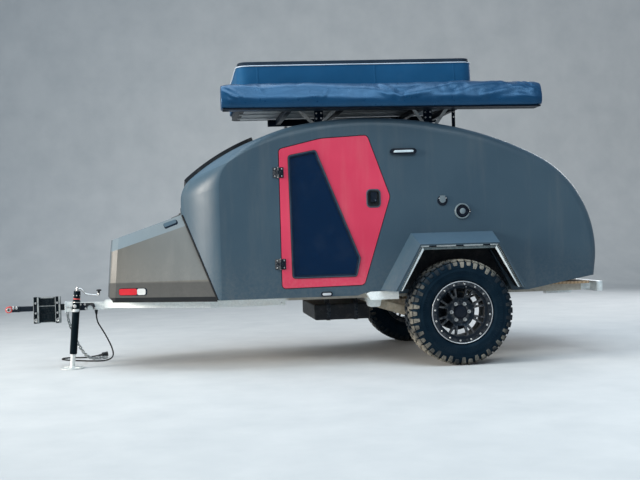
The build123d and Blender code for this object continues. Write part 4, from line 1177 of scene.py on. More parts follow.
# Folds of the awning bag: start x, start share, end x, end share, width and height.
# Shares are of the bag's height, and the rest is in millimetres.
BAG_FOLDS = [
    (-1790, 0.93, -1650, 0.50, 9, 7), (-1762, 0.97, -1625, 0.58, 8, 6), (-1735, 0.97, -1600, 0.66, 8, 6),
    (-1700, 0.98, -1570, 0.78, 9, 5), (-1795, 0.72, -1700, 0.42, 10, 6), (-1780, 0.55, -1560, 0.38, 14, 4),
    (-1690, 0.86, -1540, 0.80, 14, 6), (-1540, 0.80, -1470, 0.74, 14, 5), (-1470, 0.74, -1180, 0.88, 18, 6),
    (-1180, 0.88, -930, 0.80, 20, 5), (-1040, 0.32, -975, 0.72, 8, 5), (-1250, 0.30, -1020, 0.52, 26, 4),
    (-930, 0.80, -620, 0.72, 22, 5), (-620, 0.72, -420, 0.40, 20, 6), (-560, 0.94, -420, 0.42, 16, 5),
    (-410, 0.42, -60, 0.80, 20, 9), (-60, 0.80, 130, 1.0, 22, 9), (-330, 0.42, 60, 0.62, 24, 5),
    (60, 0.62, 420, 0.95, 24, 8), (-100, 0.36, 260, 0.46, 26, 4), (260, 0.46, 600, 0.84, 22, 7),
    (420, 0.94, 660, 0.60, 16, 6), (560, 0.95, 725, 0.55, 10, 6), (610, 0.98, 730, 0.70, 8, 6),
    (540, 0.40, 720, 0.30, 14, 4),
]


def fold_height(x, share, folds, shift=0.0):
    """Height in millimetres of the folds at a place on the bag."""
    total = 0.0
    for x0, s0, x1, s1, width, height in folds:
        x0, x1 = x0 + shift, x1 + shift
        if x < min(x0, x1) - FOLD_REACH or x > max(x0, x1) + FOLD_REACH:
            continue
        ax, az = x1 - x0, (s1 - s0) * BAG_HEIGHT
        px, pz = x - x0, (share - s0) * BAG_HEIGHT
        length = ax * ax + az * az
        u = min(1.0, max(0.0, (px * ax + pz * az) / length))
        gap = math.hypot(px - ax * u, pz - az * u)
        taper = math.sin(math.pi * min(1.0, max(0.0, 0.08 + 0.84 * u))) ** 0.6
        ridge = math.exp(-((gap / width) ** 2))
        hollow = math.exp(-(((gap - 2.2 * width) / width) ** 2))
        total += height * taper * (ridge - 0.45 * hollow)
    return total


def bag_section(x):
    """Closed cross section of the awning bag at x: y, z, share across and share of the height."""
    run = (x - AWNING_FRONT) / (AWNING_REAR - AWNING_FRONT)
    ripple = noise.noise(Vector((x * 0.011, 0, 4)))
    top = 2226.0 + 9.0 * run + 5.0 * math.sin(x * 0.0045 + 1.0) + 2.5 * ripple
    foot = 2020.5 + 6.0 * run + 1.5 * noise.noise(Vector((x * 0.003, 9, 0)))
    near = -947.0 + 3.0 * noise.noise(Vector((x * 0.004, 3, 3)))
    far = -748.0
    squeeze = min(1.0, min(x - AWNING_FRONT, AWNING_REAR - x) / 70)
    squeeze = 0.86 + 0.14 * math.sin(max(0.0, squeeze) * math.pi / 2)
    outline = [
        (0.97, 0.00), (0.80, 0.0), (0.45, 0.0), (0.20, 0.004), (0.10, 0.03), (0.055, 0.09), (0.026, 0.17),
        (0.007, 0.26), (0.0, 0.34), (0.009, 0.42), (0.028, 0.50), (0.055, 0.58), (0.088, 0.66),
        (0.125, 0.735), (0.165, 0.80), (0.21, 0.86), (0.26, 0.91), (0.32, 0.95), (0.39, 0.978),
        (0.46, 0.994), (0.56, 1.0), (0.66, 0.994), (0.76, 0.97), (0.85, 0.93), (0.92, 0.86), (0.97, 0.76),
        (0.99, 0.62), (1.0, 0.45), (1.0, 0.25), (0.995, 0.08),
    ]
    middle_y, middle_z = (near + far) / 2, foot + 0.42 * (top - foot)
    points = []
    for across, share in outline:
        y = near + (far - near) * across
        z = foot + (top - foot) * share
        points.append((middle_y + (y - middle_y) * squeeze,
                       middle_z + (z - middle_z) * (squeeze + 0.4) / 1.4, across, share))
    return points


def make_awning():
    """Packed awning bag with folds and puckered ends, and the bar under it."""
    bm = bmesh.new()
    count = 230
    rings = []
    for i in range(count + 1):
        u = i / count
        ease = u - 0.10 * math.sin(4 * math.pi * u) / (4 * math.pi) * 4
        x = AWNING_FRONT + (AWNING_REAR - AWNING_FRONT) * min(1.0, max(0.0, ease))
        section = bag_section(x)
        row = []
        for j, (y, z, across, share) in enumerate(section):
            py, pz = section[j - 1][:2]
            next_y, next_z = section[(j + 1) % len(section)][:2]
            ty, tz = next_y - py, next_z - pz
            length = math.hypot(ty, tz) or 1.0
            out_y, out_z = -tz / length, ty / length
            side = share if across < 0.55 else 2.0 - share
            if across < 0.56:
                bump = fold_height(x, side, BAG_FOLDS)
            else:
                bump = 0.6 * fold_height(x, share, BAG_FOLDS, 120)
            keep = min(1.0, share / 0.22) if share < 0.22 else 1.0
            rumple = 2.2 * noise.noise(Vector((x * 0.013, across * 2.0, share * 3.0)))
            lift = max(-9.0, min(6.0, bump * keep + rumple * keep))
            row.append(bm.verts.new((at_axle(x), (y + out_y * lift) / 1000,
                                     min(2244.0, z + out_z * lift) / 1000)))
        rings.append(row)
    rings_to_faces(bm, rings)
    for row, shift in ((rings[0], -1), (rings[-1], 1)):
        middle = Vector((0, 0, 0))
        for v in row:
            middle += v.co
        middle /= len(row)
        previous = row
        for k, share in enumerate((0.90, 0.72, 0.48, 0.2)):
            inner = []
            for j, v in enumerate(row):
                point = middle + (v.co - middle) * share
                pucker = 0.0025 * math.sin(j * 1.9 + k) * (1 - share)
                point.x += shift * (pucker - 0.004 * (1 - share))
                inner.append(bm.verts.new(point))
            rings_to_faces(bm, [previous, inner])
            previous = inner
        bm.faces.new(previous)
    bag = piece("awning_bag_skin", bm, "trailer", "bag_fabric", "cover_fabric", stands_for=("awning_bag",),
                sharp=75, weld=True)
    smooth = bag.modifiers.new("smooth", "SUBSURF")
    smooth.levels = smooth.render_levels = 1

    bm = bmesh.new()
    profile = [(-930, 2030), (-930, 2024), (-926, 2021), (-856, 2021), (-852, 2024), (-838, 2024),
               (-834, 2021), (-764, 2021), (-760, 2024), (-760, 2030)]
    rows = []
    for x in (AWNING_FRONT + 14, AWNING_REAR - 14):
        rows.append([bm.verts.new(mm(x, y, z)) for y, z in profile])
    capped(bm, rows)
    piece("awning_base_bar", bm, "trailer", "black_aluminium", "black_aluminium", sharp=25, weld=True)


def make_rack():
    """Rack parts with rounded edges, and their braces and bolts."""
    refined("roof_rails", "black_aluminium", 4)
    refined("rack_crossbars", "black_aluminium", 3)
    refined("rack_towers", "black_aluminium", 1.5)
    refined("awning_brackets", "black_aluminium", 1.2)
    bm = bmesh.new()
    for side in (-1, 1):
        y = side * 0.572
        for x0, z0, x1, z1 in ((-1170, 2046, -1052, 1935), (-980, 1960, -880, 2052),
                               (-240, 2066, -140, 1925), (-60, 1905, 60, 2068)):
            a, b = Vector((at_axle(x0), y, z0 / 1000)), Vector((at_axle(x1), y, z1 / 1000))
            along = (b - a).normalized()
            across = Vector((-along.z, 0, along.x))
            rows = []
            for point in (a, a + along * 0.012, b - along * 0.012, b):
                w = 0.009 if point in (a, b) else 0.013
                rows.append([bm.verts.new(point + across * w + Vector((0, dy, 0)))
                             for dy in (-0.0025, 0.0025)]
                            + [bm.verts.new(point - across * w + Vector((0, dy, 0)))
                               for dy in (0.0025, -0.0025)])
            capped(bm, rows)
    piece("rack_braces", bm, "trailer", "worn_steel", "galvanised", sharp=25, weld=True)
    bm = bmesh.new()
    for side in (-1, 1):
        for x in (-1012, -107, 111):
            for dx, z in ((-20, 2028), (20, 2028), (-20, 1985), (20, 1985)):
                if x > 0:
                    dx = 0
                hex_head(bm, (at_axle(x + dx), side * 0.5622, z / 1000 + 0.001 * dx / 20), 0.0055, 0.006,
                         (0, side, 0))
        for x, z in ((-1170, 2040), (-1052, 1941), (-980, 1965), (-880, 2047), (-240, 2061), (-140, 1931),
                     (-60, 1911), (60, 2062)):
            hex_head(bm, (at_axle(x), side * 0.5745, z / 1000), 0.0050, 0.005, (0, side, 0))
    piece("rack_bolts", bm, "trailer", "bright_steel", "bright_steel", weld=True)


make_tent_cover()
make_tent_piping()
make_tent_seams()
make_tent_lid()
make_tent_base()
make_awning()
make_rack()


# Hitch and jack


def stud(bm, at, radius, height, axis, washer=1.5):
    """Round-topped pin end on a washer."""
    lathe(bm, [(0.0, 0.0), (radius * washer, 0.0), (radius * washer, height * 0.14),
               (radius * washer * 0.94, height * 0.2), (radius, height * 0.2), (radius, height * 0.75),
               (radius * 0.82, height * 0.95), (radius * 0.4, height), (0.0, height)],
          at, axis, 20, False)


def make_hitch():
    """Height-adjusting channels, the pin coupler with its red bush, and the pins of both."""
    bm, lips, pins, dark = (bmesh.new() for _ in range(4))
    block(bm, -3170, -2960, -25, 25, 476.75, 526.75)
    block(bm, -3331, -3197, -18, 18, 376, 588)
    block(bm, -3331, -3197, -25, 25, 475, 517)
    for x in (-3331, -3212):
        block(bm, x, x + 15, -21, 21, 377, 587)
    for side in (-1, 1):
        y0, y1 = sorted((side * 17.5, side * 20.5))
        block(lips, -3330, -3198, y0, y1, 580, 589)
        block(lips, -3330, -3198, y0, y1, 376, 382)
        y0, y1 = sorted((side * 24.0, side * 26.5))
        block(lips, -3330, -3198, y0, y1, 513.5, 518)
    for x0, x1 in ((-3376, -3330), (-3198, -3156)):
        block(bm, x0 + 1, x1 - 1, -24, 24, 371, 591)
        for side in (-1, 1):
            y0, y1 = sorted((side * 20, side * 32))
            block(lips, x0, x0 + 5, y0, y1, 370, 592)
            block(lips, x1 - 13, x1, y0, y1, 370, 592)
            for z in (540, 458):
                middle = mm((x0 + x1) / 2 - 3, side * 24, z)
                stud(pins, middle, 0.0088, 0.015, (0, side, 0), 1.15)
                # Black crescent behind each pin head: its painted cast shadow.
                lathe(dark, [(0.0, 0.0), (0.0052, 0.0), (0.0052, 0.0035), (0.0, 0.0035)],
                      mm((x0 + x1) / 2 + 8, side * 24, z - 1), (0, side, 0), 14, False)
            spot = mm((x0 + x1) / 2 - 1, side * 24, 398)
            lathe(pins, [(0.0050, 0.0), (0.0165, 0.0), (0.0165, 0.0030), (0.0148, 0.0035), (0.0148, 0.0150),
                         (0.0125, 0.0190), (0.0080, 0.0195), (0.0050, 0.0170)], spot, (0, side, 0), 28)
            # Black core in the washer's hole: painted shade.
            lathe(dark, [(0.0, 0.002), (0.0055, 0.002), (0.0055, 0.013), (0.0, 0.013)], spot, (0, side, 0),
                  14, False)
    soften(bm, 1.6)
    soften(lips, 1.2)
    piece("hitch_drawbar_plates", bm, "trailer", "jack_black", "black_steel", stands_for=("hitch_drawbar",))
    piece("hitch_channel_lips", lips, "trailer", "worn_steel", "black_steel")

    bm = bmesh.new()
    eye_x = -3572
    prism(bm, [(-3566, 482), (-3552, 473), (-3486, 473), (-3486, 517), (-3544, 517), (-3562, 507)], -28, 28)
    block(bm, -3487, -3350, -25, 25, 475, 517)
    block(bm, -3500, -3484, -29.5, 29.5, 472, 518)
    soften(bm, 3.0, 3)
    piece("coupler_body", bm, "trailer", "black_steel", "black_steel", stands_for=("hitch_coupler",))
    bm = bmesh.new()
    lathe(bm, [(0.0125, -0.0315), (0.0255, -0.0315), (0.0280, -0.0285), (0.0280, -0.0060),
               (0.0268, -0.0040), (0.0268, 0.0040), (0.0280, 0.0060), (0.0280, 0.0285), (0.0255, 0.0315),
               (0.0125, 0.0315)], mm(eye_x, 0, 494),
               (0, 1, 0), 48)
    piece("coupler_bush", bm, "trailer", "red_bush", "black_steel", stands_for=("hitch_coupler",),
          weld=True)
    for side in (-1, 1):
        lathe(pins, [(0.0100, 0.0), (0.0175, 0.0), (0.0175, 0.0028), (0.0160, 0.0036), (0.0115, 0.0036),
                     (0.0100, 0.0028)],
              mm(eye_x, side * 30.5, 494), (0, side, 0), 32)
        for x in (eye_x + 36, eye_x + 62):
            stud(pins, mm(x, side * 27.5, 506), 0.0092, 0.010, (0, side, 0), 1.2)
    for x in (eye_x + 36, eye_x + 62):
        stud(pins, mm(x, -12, 516), 0.0085, 0.007, (0, 0, 1), 1.3)
        stud(pins, mm(x, 12, 516), 0.0085, 0.007, (0, 0, 1), 1.3)
    piece("hitch_pins", pins, "trailer", "bright_steel", "bright_steel")
    # Black sleeve in the eye's bore: painted shade.
    lathe(dark, [(0.0086, -0.033), (0.0100, -0.033), (0.0100, 0.033), (0.0086, 0.033)], mm(eye_x, 0, 494),
          (0, 1, 0), 24)
    piece("hitch_painted_hole_shade", dark, "trailer", "black_plastic", "black_steel")

    bm = bmesh.new()
    for side in (-1, 1):
        for x in (-3095, -3050):
            hex_head(bm, mm(x, side * 41, 501.75), 0.0075, 0.0065, (0, side, 0))
    tube_ring(bm, [mm(-3072, -52, 501), mm(-3072, 52, 501)], 0.0052, 12, False)
    tube_ring(bm, [mm(-3072 + 14 * math.cos(0.5 * i), 51 + 1.2 * i, 489 + 13 * math.sin(0.5 * i))
                   for i in range(1, 9)], 0.0016, 6, False, (0, 1, 0))
    piece("receiver_pin", bm, "trailer", "bright_steel", "bright_steel")


JACK_LEAN = math.tan(math.radians(5.1))
PIN_TURN = -1.9


def on_jack(height, dx=0.0, dy=0.0):
    """Point beside the leaning jack's axis at a height, all in millimetres."""
    return mm(-3016.3 + (height - 490) * JACK_LEAN + dx, -140 + dy, height)


JACK_AXIS = Vector((JACK_LEAN, 0, 1)).normalized()


def jack_band(bm, low, high, radius):
    """Band round the jack's tube between two heights in metres."""
    edge = 0.0012
    lathe(bm, [(radius - 0.003, low), (radius, low + edge), (radius, high - edge), (radius - 0.003, high)],
          on_jack(0), JACK_AXIS, 40)


def make_jack_tube():
    """Outer tube of the jack and the boss that it swings on."""
    bm = bmesh.new()
    lathe(bm, [(0.0, 0.1205), (0.0206, 0.1205), (0.0290, 0.1205), (0.0300, 0.1225), (0.0300, 0.5460),
               (0.0312, 0.5480), (0.0312, 0.5580), (0.0300, 0.5600), (0.0272, 0.5620), (0.0272, 0.6080),
               (0.0284, 0.6095), (0.0284, 0.6200), (0.0272, 0.6215), (0.0272, 0.6360), (0.0240, 0.6400),
               (0.0150, 0.6415), (0.0, 0.6420)],
          on_jack(0), JACK_AXIS, 64, False)
    lathe(bm, [(0.0, -0.001), (0.0330, -0.001), (0.0352, 0.001), (0.0352, 0.0070), (0.0330, 0.0087),
               (0.0, 0.0087)],
          mm(-3021, -106.3, 490), (0, -1, 0), 48, False)
    piece("jack_tube_body", bm, "jack_body", "jack_black", "black_steel", stands_for=("jack_tube",),
          weld=True)


def make_jack_bands():
    """Red band, bright rings with their screws, and the crank's head."""
    bm = bmesh.new()
    jack_band(bm, 0.5690, 0.5800, 0.0285)
    piece("jack_red_band", bm, "jack_body", "red_bush", "black_steel", weld=True)
    bm = bmesh.new()
    jack_band(bm, 0.5440, 0.5520, 0.0322)
    for a in (-150, -90, -30, 30, 90, 150):
        r = math.radians(a)
        dome_head(bm, on_jack(600, 27 * math.cos(r), 27 * math.sin(r)), 0.0052, 0.0034,
                  (math.cos(r), math.sin(r), 0))
    out = Vector((math.cos(PIN_TURN), math.sin(PIN_TURN), 0))
    stud(bm, on_jack(514, 29 * out.x, 29 * out.y), 0.0125, 0.0110, out, 1.25)
    lathe(bm, [(0.0, 0.6350), (0.0160, 0.6350), (0.0175, 0.6380), (0.0175, 0.6420), (0.0120, 0.6440),
               (0.0118, 0.6660), (0.0095, 0.6720), (0.0, 0.6735)], on_jack(0), JACK_AXIS, 32, False)
    tube_ring(bm, [on_jack(656, 0, -17), on_jack(656, 0, 17)], 0.0042, 10, False)
    piece("jack_bright_rings", bm, "jack_body", "bright_steel", "bright_steel")


def make_jack_label():
    """Blank film wrapped round the tube's left side."""
    bm = bmesh.new()
    rows = []
    for z in (466.5, 467.5, 488.5, 489.5):
        row = []
        for i in range(25):
            a = math.radians(-158 + 136 * i / 24)
            lift = 30.5 if z in (467.5, 488.5) and 0 < i < 24 else 29.9
            row.append(bm.verts.new(on_jack(z, lift * math.cos(a), lift * math.sin(a))))
        rows.append(row)
    rings_to_faces(bm, rows, False)
    piece("jack_blank_label", bm, "jack_body", "white_film", "bright_steel", sharp=40)


def make_jack_crank():
    """Bent crank arm and its knob."""
    route = [(-3000.5, -140, 657), (-2993, -141, 656), (-2968, -143, 652), (-2952, -145, 634),
             (-2936, -147, 612), (-2906, -150, 603), (-2868, -153, 599), (-2846, -154, 597),
             (-2829, -154, 596), (-2828, -154, 606), (-2828, -154, 626)]
    crank = run_curve("jack_crank_arm", route, 0.0074)
    crank.data.materials.append(mats["bright_steel"])
    place(crank, "jack_body", "bright_steel", ("jack_crank",))
    bm = bmesh.new()
    lathe(bm, [(0.0, 0.0), (0.0082, 0.0), (0.0090, 0.002), (0.0082, 0.0130), (0.0120, 0.0160),
               (0.0200, 0.0180), (0.0222, 0.0210), (0.0215, 0.0250), (0.0160, 0.0290), (0.0080, 0.0306),
               (0.0, 0.0310)], mm(-2828, -154, 615.5),
               (0, 0, 1), 36, False)
    piece("jack_crank_knob", bm, "jack_body", "black_plastic", "black_plastic", stands_for=("jack_crank",),
          sharp=40, weld=True)


def make_jack_leg():
    """Sliding leg on a dished foot with gussets."""
    bm = bmesh.new()
    lathe(bm, [(0.0, 0.006), (0.0196, 0.006), (0.0200, 0.008), (0.0200, 0.430), (0.0, 0.430)], on_jack(0),
          JACK_AXIS, 48, False)
    foot = on_jack(0)
    lathe(bm, [(0.0, 0.001), (0.0900, 0.000), (0.0945, 0.0015), (0.0950, 0.0060), (0.0935, 0.0085),
               (0.0900, 0.0092), (0.0860, 0.0080), (0.0480, 0.0078), (0.0340, 0.0095), (0.0280, 0.0130),
               (0.0262, 0.0165), (0.0230, 0.0178), (0.0, 0.0178)], foot, (0, 0, 1), 64, False)
    for i in range(6):
        a = math.radians(60 * i + 30)
        ray, wide = Vector((math.cos(a), math.sin(a), 0)), Vector((-math.sin(a), math.cos(a), 0)) * 0.0022
        points = [foot + ray * r + Vector((0, 0, h))
                  for r, h in ((0.024, 0.004), (0.082, 0.004), (0.080, 0.0095), (0.026, 0.0165))]
        rows = [[bm.verts.new(p + w) for p in points] for w in (wide, -wide)]
        capped(bm, rows)
    piece("jack_leg_foot", bm, "jack_leg_body", "zinc_leg", "galvanised", stands_for=("jack_leg",))


def make_bracket_bolts():
    """Bolts of the jack's bracket on the drawbar."""
    bm = bmesh.new()
    for x, z in ((-2953, 520), (-2946, 484), (-2990, 520)):
        hex_head(bm, mm(x, -60, z), 0.0070, 0.0060, (0, -1, 0))
    hex_head(bm, mm(-2870, -37.5, 484), 0.0065, 0.0055, (0, -1, 0))
    piece("jack_bracket_bolts", bm, "trailer", "bright_steel", "bright_steel")


make_hitch()
make_jack_tube()
make_jack_bands()
make_jack_label()
make_jack_crank()
make_jack_leg()
make_bracket_bolts()


# Body: doors, lamps, sockets, nose and wheel arches


def rounded_line(corners, radii, steps=6):
    """Closed (x, z) outline with rounded corners."""
    line, count = [], len(corners)
    for i in range(count):
        a, b, c = (Vector(corners[(i + k) % count]) for k in (-1, 0, 1))
        u, w = (a - b).normalized(), (c - b).normalized()
        half = u.angle(w) / 2
        centre = b + (u + w).normalized() * (radii[i] / math.sin(half))
        start = (b + u * (radii[i] / math.tan(half)) - centre).normalized()
        end = (b + w * (radii[i] / math.tan(half)) - centre).normalized()
        for j in range(steps + 1):
            line.append(centre + start.lerp(end, j / steps).normalized() * radii[i])
    return line


def grown(line, amount):
    """The outline moved outwards by an amount."""
    count = len(line)
    middle = sum(line, Vector((0, 0))) / count
    moved = []
    for i in range(count):
        along = (line[(i + 1) % count] - line[i - 1]).normalized()
        out = Vector((along.y, -along.x))
        if out.dot(line[i] - middle) < 0:
            out = -out
        moved.append(line[i] + out * amount)
    return moved


def side_bead(bm, line, y, radius, closed=True):
    """Round bead that follows an (x, z) outline on the trailer's side."""
    tube_ring(bm, [mm(x, y, z) for x, z in line], radius / 1000, 8, closed, (0, 1, 0))


RAY_START_Y = 1500
DOOR_LINE = rounded_line(
    [(-1370, 1719), (-1040, 1797), (-668, 1818), (-496, 1332), (-720, 640), (-1370, 632)],
    [30, 400, 34, 60, 36, 28])
WINDOW_LINE = rounded_line([(-1302, 1670), (-1080, 1712), (-743, 850), (-776, 706), (-1290, 706)],
                           [26, 26, 22, 26, 26])
DOOR_HINGES_Z = (822, 1537)
GRIP_LINE = rounded_line([(-682, 1250), (-682, 1389), (-574, 1389), (-574, 1250)], [30] * 4)


def make_doors():
    """Seals, window beads, hinge screws and handle details of both doors."""
    seals, screws = bmesh.new(), bmesh.new()
    for side, name in SIDES:
        body = f"door_{name}_body"
        side_bead(seals, grown(DOOR_LINE, 3.0), side * 800, 2.8)
        bm = bmesh.new()
        side_bead(bm, grown(WINDOW_LINE, -1.5), side * 813.2, 2.6)
        side_bead(bm, grown(WINDOW_LINE, -18.5), side * 803.0, 2.4)
        piece(f"window_seal_{name}", bm, body, "seal_rubber", "seal_rubber", sharp=60)
        bm = bmesh.new()
        rows = []
        for shift, lift in ((-3.0, 814.6), (-6.5, 815.2), (-15.0, 809.0), (-17.0, 805.5)):
            rows.append([bm.verts.new(mm(x, side * lift, z)) for x, z in grown(WINDOW_LINE, shift)])
        rings_to_faces(bm, rows)
        piece(f"window_trim_{name}", bm, body, "window_edge", "window_grey", sharp=40, weld=True)
        bm = bmesh.new()
        side_bead(bm, grown(GRIP_LINE, -1.5), side * 812.6, 2.7)
        side_bead(bm, grown(GRIP_LINE, 3.4), side * 810.2, 1.6)
        for x, y, z, r, hollow in ((-664, 792, 1366, 5.5, 0.0), (-612, 806.5, 1302, 6.5, 0.3)):
            dome_head(bm, mm(x, side * y, z), r / 1000, 0.0045, (0, side, 0), hollow)
        piece(f"handle_trim_{name}", bm, body, "window_edge", "bright_steel", sharp=40)
        bm = bmesh.new()
        prism(bm, [(-651, 1292), (-651, 1374), (-601, 1374), (-601, 1292)], side * 801, side * 807)
        prism(bm, [(-651, 1292), (-651, 1304), (-601, 1304), (-601, 1292)], side * 806, side * 810.5)
        soften(bm, 2.2, 3)
        piece(f"handle_paddle_{name}", bm, body, "gloss_black", "gloss_black")
        bm = bmesh.new()
        for z in DOOR_HINGES_Z:
            for dz in (-28, 28):
                dome_head(screws, mm(-1406, side * 815, z + dz), 0.0052, 0.0030, (0, side, 0), 0.35)
                dome_head(bm, mm(-1352, side * 816, z + dz), 0.0052, 0.0030, (0, side, 0), 0.35)
            for dz, up in ((-40, -1), (40, 1)):
                dome_head(screws, mm(-1380, side * 822, z + dz), 0.0066, 0.0028, (0, 0, up))
        leaf = bmesh.new()
        for z in DOOR_HINGES_Z:
            prism(leaf, rounded_line([(-1373, z - 41), (-1373, z + 41), (-1337, z + 41), (-1337, z - 41)],
                                     [4] * 4, 3), side * 811, side * 816)
            prism(leaf, [(-1380, z - 13.4), (-1380, z + 13.4), (-1361, z + 13.4), (-1361, z - 13.4)],
                  side * 814.5, side * 820.6)
            lathe(leaf, [(0.0, -0.0133), (0.0076, -0.0133), (0.0080, -0.0125), (0.0080, 0.0125),
                         (0.0076, 0.0133), (0.0, 0.0133)],
                  mm(-1380, side * 822, z), (0, 0, 1), 20, False)
        soften(leaf, 0.8)
        piece(f"hinge_leaf_{name}", leaf, body, "black_steel", "black_steel")
        piece(f"hinge_screws_{name}", bm, body, "bright_steel", "bright_steel", sharp=40)
    piece("door_seals", seals, "trailer", "seal_rubber", "seal_rubber", sharp=60)
    piece("hinge_screws", screws, "trailer", "bright_steel", "bright_steel", sharp=40)


def make_side_fittings():
    """Lenses of the porch and marker lamps, and the faces of the two round sockets."""
    lens, clear, black, bright, grey = (bmesh.new() for _ in range(5))
    for side in (-1, 1):
        prism(lens, [(-462, 1680), (-452, 1695), (-306, 1697), (-298, 1692), (-304, 1679), (-452, 1677)],
              side * 829, side * 834.5)
        side_bead(black, rounded_line([(-486, 1687), (-462, 1708), (-292, 1708), (-275, 1687), (-292, 1666),
                                       (-462, 1666)],
                                      [3, 14, 14, 3, 14, 14]), side * 829, 3.2)
        side_bead(black, rounded_line([(-1066, 559), (-1066, 593), (-980, 593), (-980, 559)], [16] * 4),
                  side * 820, 3.5)
        prism(clear, rounded_line([(-1058, 566), (-1058, 586), (-988, 586), (-988, 566)], [9] * 4, 4),
              side * 816, side * 823)
    out = (0, -1, 0)
    spot = mm(90, -810, 1202)
    lathe(grey, [(0.0, 0.0190), (0.0200, 0.0190), (0.0225, 0.0176), (0.0235, 0.0150), (0.0235, 0.0100),
                 (0.0, 0.0100)],
          spot, out, 48, False)
    lathe(black, [(0.0, 0.0140), (0.0350, 0.0140), (0.0370, 0.0172), (0.0420, 0.0172), (0.0440, 0.0120),
                  (0.0470, 0.0060), (0.0540, 0.0060), (0.0550, 0.0)], spot, out, 64, False)
    lathe(grey, [(0.0500, 0.0), (0.0515, 0.0130), (0.0545, 0.0155), (0.0590, 0.0150), (0.0622, 0.0110),
                 (0.0625, 0.0)],
          spot, out, 64)
    for i in range(5):
        a = 2 * math.pi * i / 5
        lathe(black, [(0.0, 0.0), (0.0035, 0.0), (0.0035, 0.0015), (0.0, 0.0015)],
              spot + Vector((0.0095 * math.cos(a), -0.0150, 0.0095 * math.sin(a))), out, 10, False)
    prism(black, [(140, 1184), (140, 1220), (156, 1216), (156, 1188)], -812, -828)
    for z in (1195, 1208):
        dome_head(bright, mm(148, -828, z), 0.0042, 0.0030, out)
    for a in (205, 255):
        ray = Vector((math.cos(math.radians(a)), 0, math.sin(math.radians(a)))) * 0.0565
        dome_head(bright, spot + ray + Vector((0, -0.0132, 0)), 0.0026, 0.0016, out)
    spot = mm(-70, -810, 1291)
    lathe(black, [(0.0, 0.0100), (0.0340, 0.0100), (0.0400, 0.0080), (0.0420, 0.0050), (0.0420, 0.0)], spot,
          out, 56, False)
    lathe(grey, [(0.0, 0.0128), (0.0225, 0.0128), (0.0245, 0.0112), (0.0245, 0.0080), (0.0, 0.0080)],
          spot + Vector((0, 0, 0.004)), out, 40, False)
    prism(grey, rounded_line([(-90, 1300), (-94, 1330), (-46, 1330), (-50, 1300)], [6, 8, 8, 6], 4), -816,
          -822)
    for x in (-98, -42):
        dome_head(bright, mm(x, -818, 1308), 0.0052, 0.0034, out)
    soften(lens, 1.5)
    soften(clear, 1.2)
    piece("porch_lenses", lens, "trailer", "white_lens", sharp=40)
    piece("marker_lenses", clear, "trailer", "clear_lens", sharp=40)
    piece("socket_covers", grey, "trailer", "socket_grey", "gloss_black", stands_for=("side_sockets",),
          sharp=35)
    piece("lamp_rims_and_sockets", black, "trailer", "gloss_black", "gloss_black",
          stands_for=("side_sockets",), sharp=35)
    piece("socket_screws", bright, "trailer", "bright_steel", "bright_steel", sharp=35)


def surface_of(node):
    """Search tree of a CAD node's surface."""
    bm = bmesh.new()
    bm.from_mesh(nodes[node].data)
    tree = BVHTree.FromBMesh(bm)
    bm.free()
    return tree


def patch(bm, tree, side, corners, radii, lift):
    """Thin film that follows the body's side inside a rounded (x, z) outline."""
    line = rounded_line(corners, radii, 6)
    middle = sum(line, Vector((0, 0))) / len(line)
    rings = []
    for share in (1.0, 1.0, 0.96, 0.8, 0.55, 0.3):
        row = []
        for point in line:
            x, z = middle + (point - middle) * share
            spot, normal = tree.ray_cast(mm(x, side * RAY_START_Y, z), Vector((0, -side, 0)))[:2]
            up = -0.0005 if not rings else lift / 1000
            row.append(bm.verts.new(spot + normal * up))
        rings.append(row)
    rings_to_faces(bm, rings)
    bm.faces.new(rings[-1])


def make_nose_details():
    """Blank badge, grip recess drawn as a black patch of painted shadow under a grip patch, and rubber seam
    on the nose.
    """
    lid, shell = surface_of("nose_lid"), surface_of("cabin_shell")
    for side, name in SIDES:
        for key, corners, radius, lift, colour in (
            ("edge", [(-2646, 603), (-2646, 663), (-2420, 663), (-2420, 603)], 22, 1.2, "gloss_black"),
            ("red", [(-2642, 608), (-2642, 658), (-2500, 658), (-2500, 608)], 14, 2.2, "badge_red"),
            ("white", [(-2499, 608), (-2499, 658), (-2433, 658), (-2433, 608)], 14, 2.2, "white_film"),
        ):
            bm = bmesh.new()
            patch(bm, lid, side, corners, [radius] * 4, lift)
            piece(f"badge_{key}_{name}", bm, "nose_body", colour, "gloss_black", sharp=40)
        # Grip recess: a raised black patch that shows right of and below the grip patch, as the recess's
        # painted shadow.
        bm = bmesh.new()
        patch(bm, lid, side, [(-2284, 1164), (-2179, 1199), (-2159, 1163), (-2266, 1124)], [10, 14, 14, 10],
              1.6)
        piece(f"nose_recess_painted_shadow_{name}", bm, "nose_body", "gloss_black", "gloss_black", sharp=40)
        bm = bmesh.new()
        patch(bm, lid, side, [(-2281, 1166), (-2184, 1198), (-2172, 1173), (-2270, 1136)], [8, 10, 10, 8],
              3.2)
        piece(f"nose_grip_{name}", bm, "nose_body", "body_grey", "body_grey", sharp=40)
    bm = bmesh.new()
    for side in (-1, 1):
        line = []
        for i in range(27):
            z = 558 + (1228 - 558) * i / 26
            x = -1867.0 - (z - 550.0) * 263.0 / 687.0
            spot = shell.ray_cast(mm(x + 6, side * RAY_START_Y, z), Vector((0, -side, 0)))[0]
            line.append(Vector((at_axle(x - 4.0), spot.y - side * 0.0050, z / 1000)))
        tube_ring(bm, line, 0.0072, 8, False, (0, 1, 0))
    piece("seam_rubber", bm, "trailer", "seal_rubber", "seal_rubber", sharp=60)


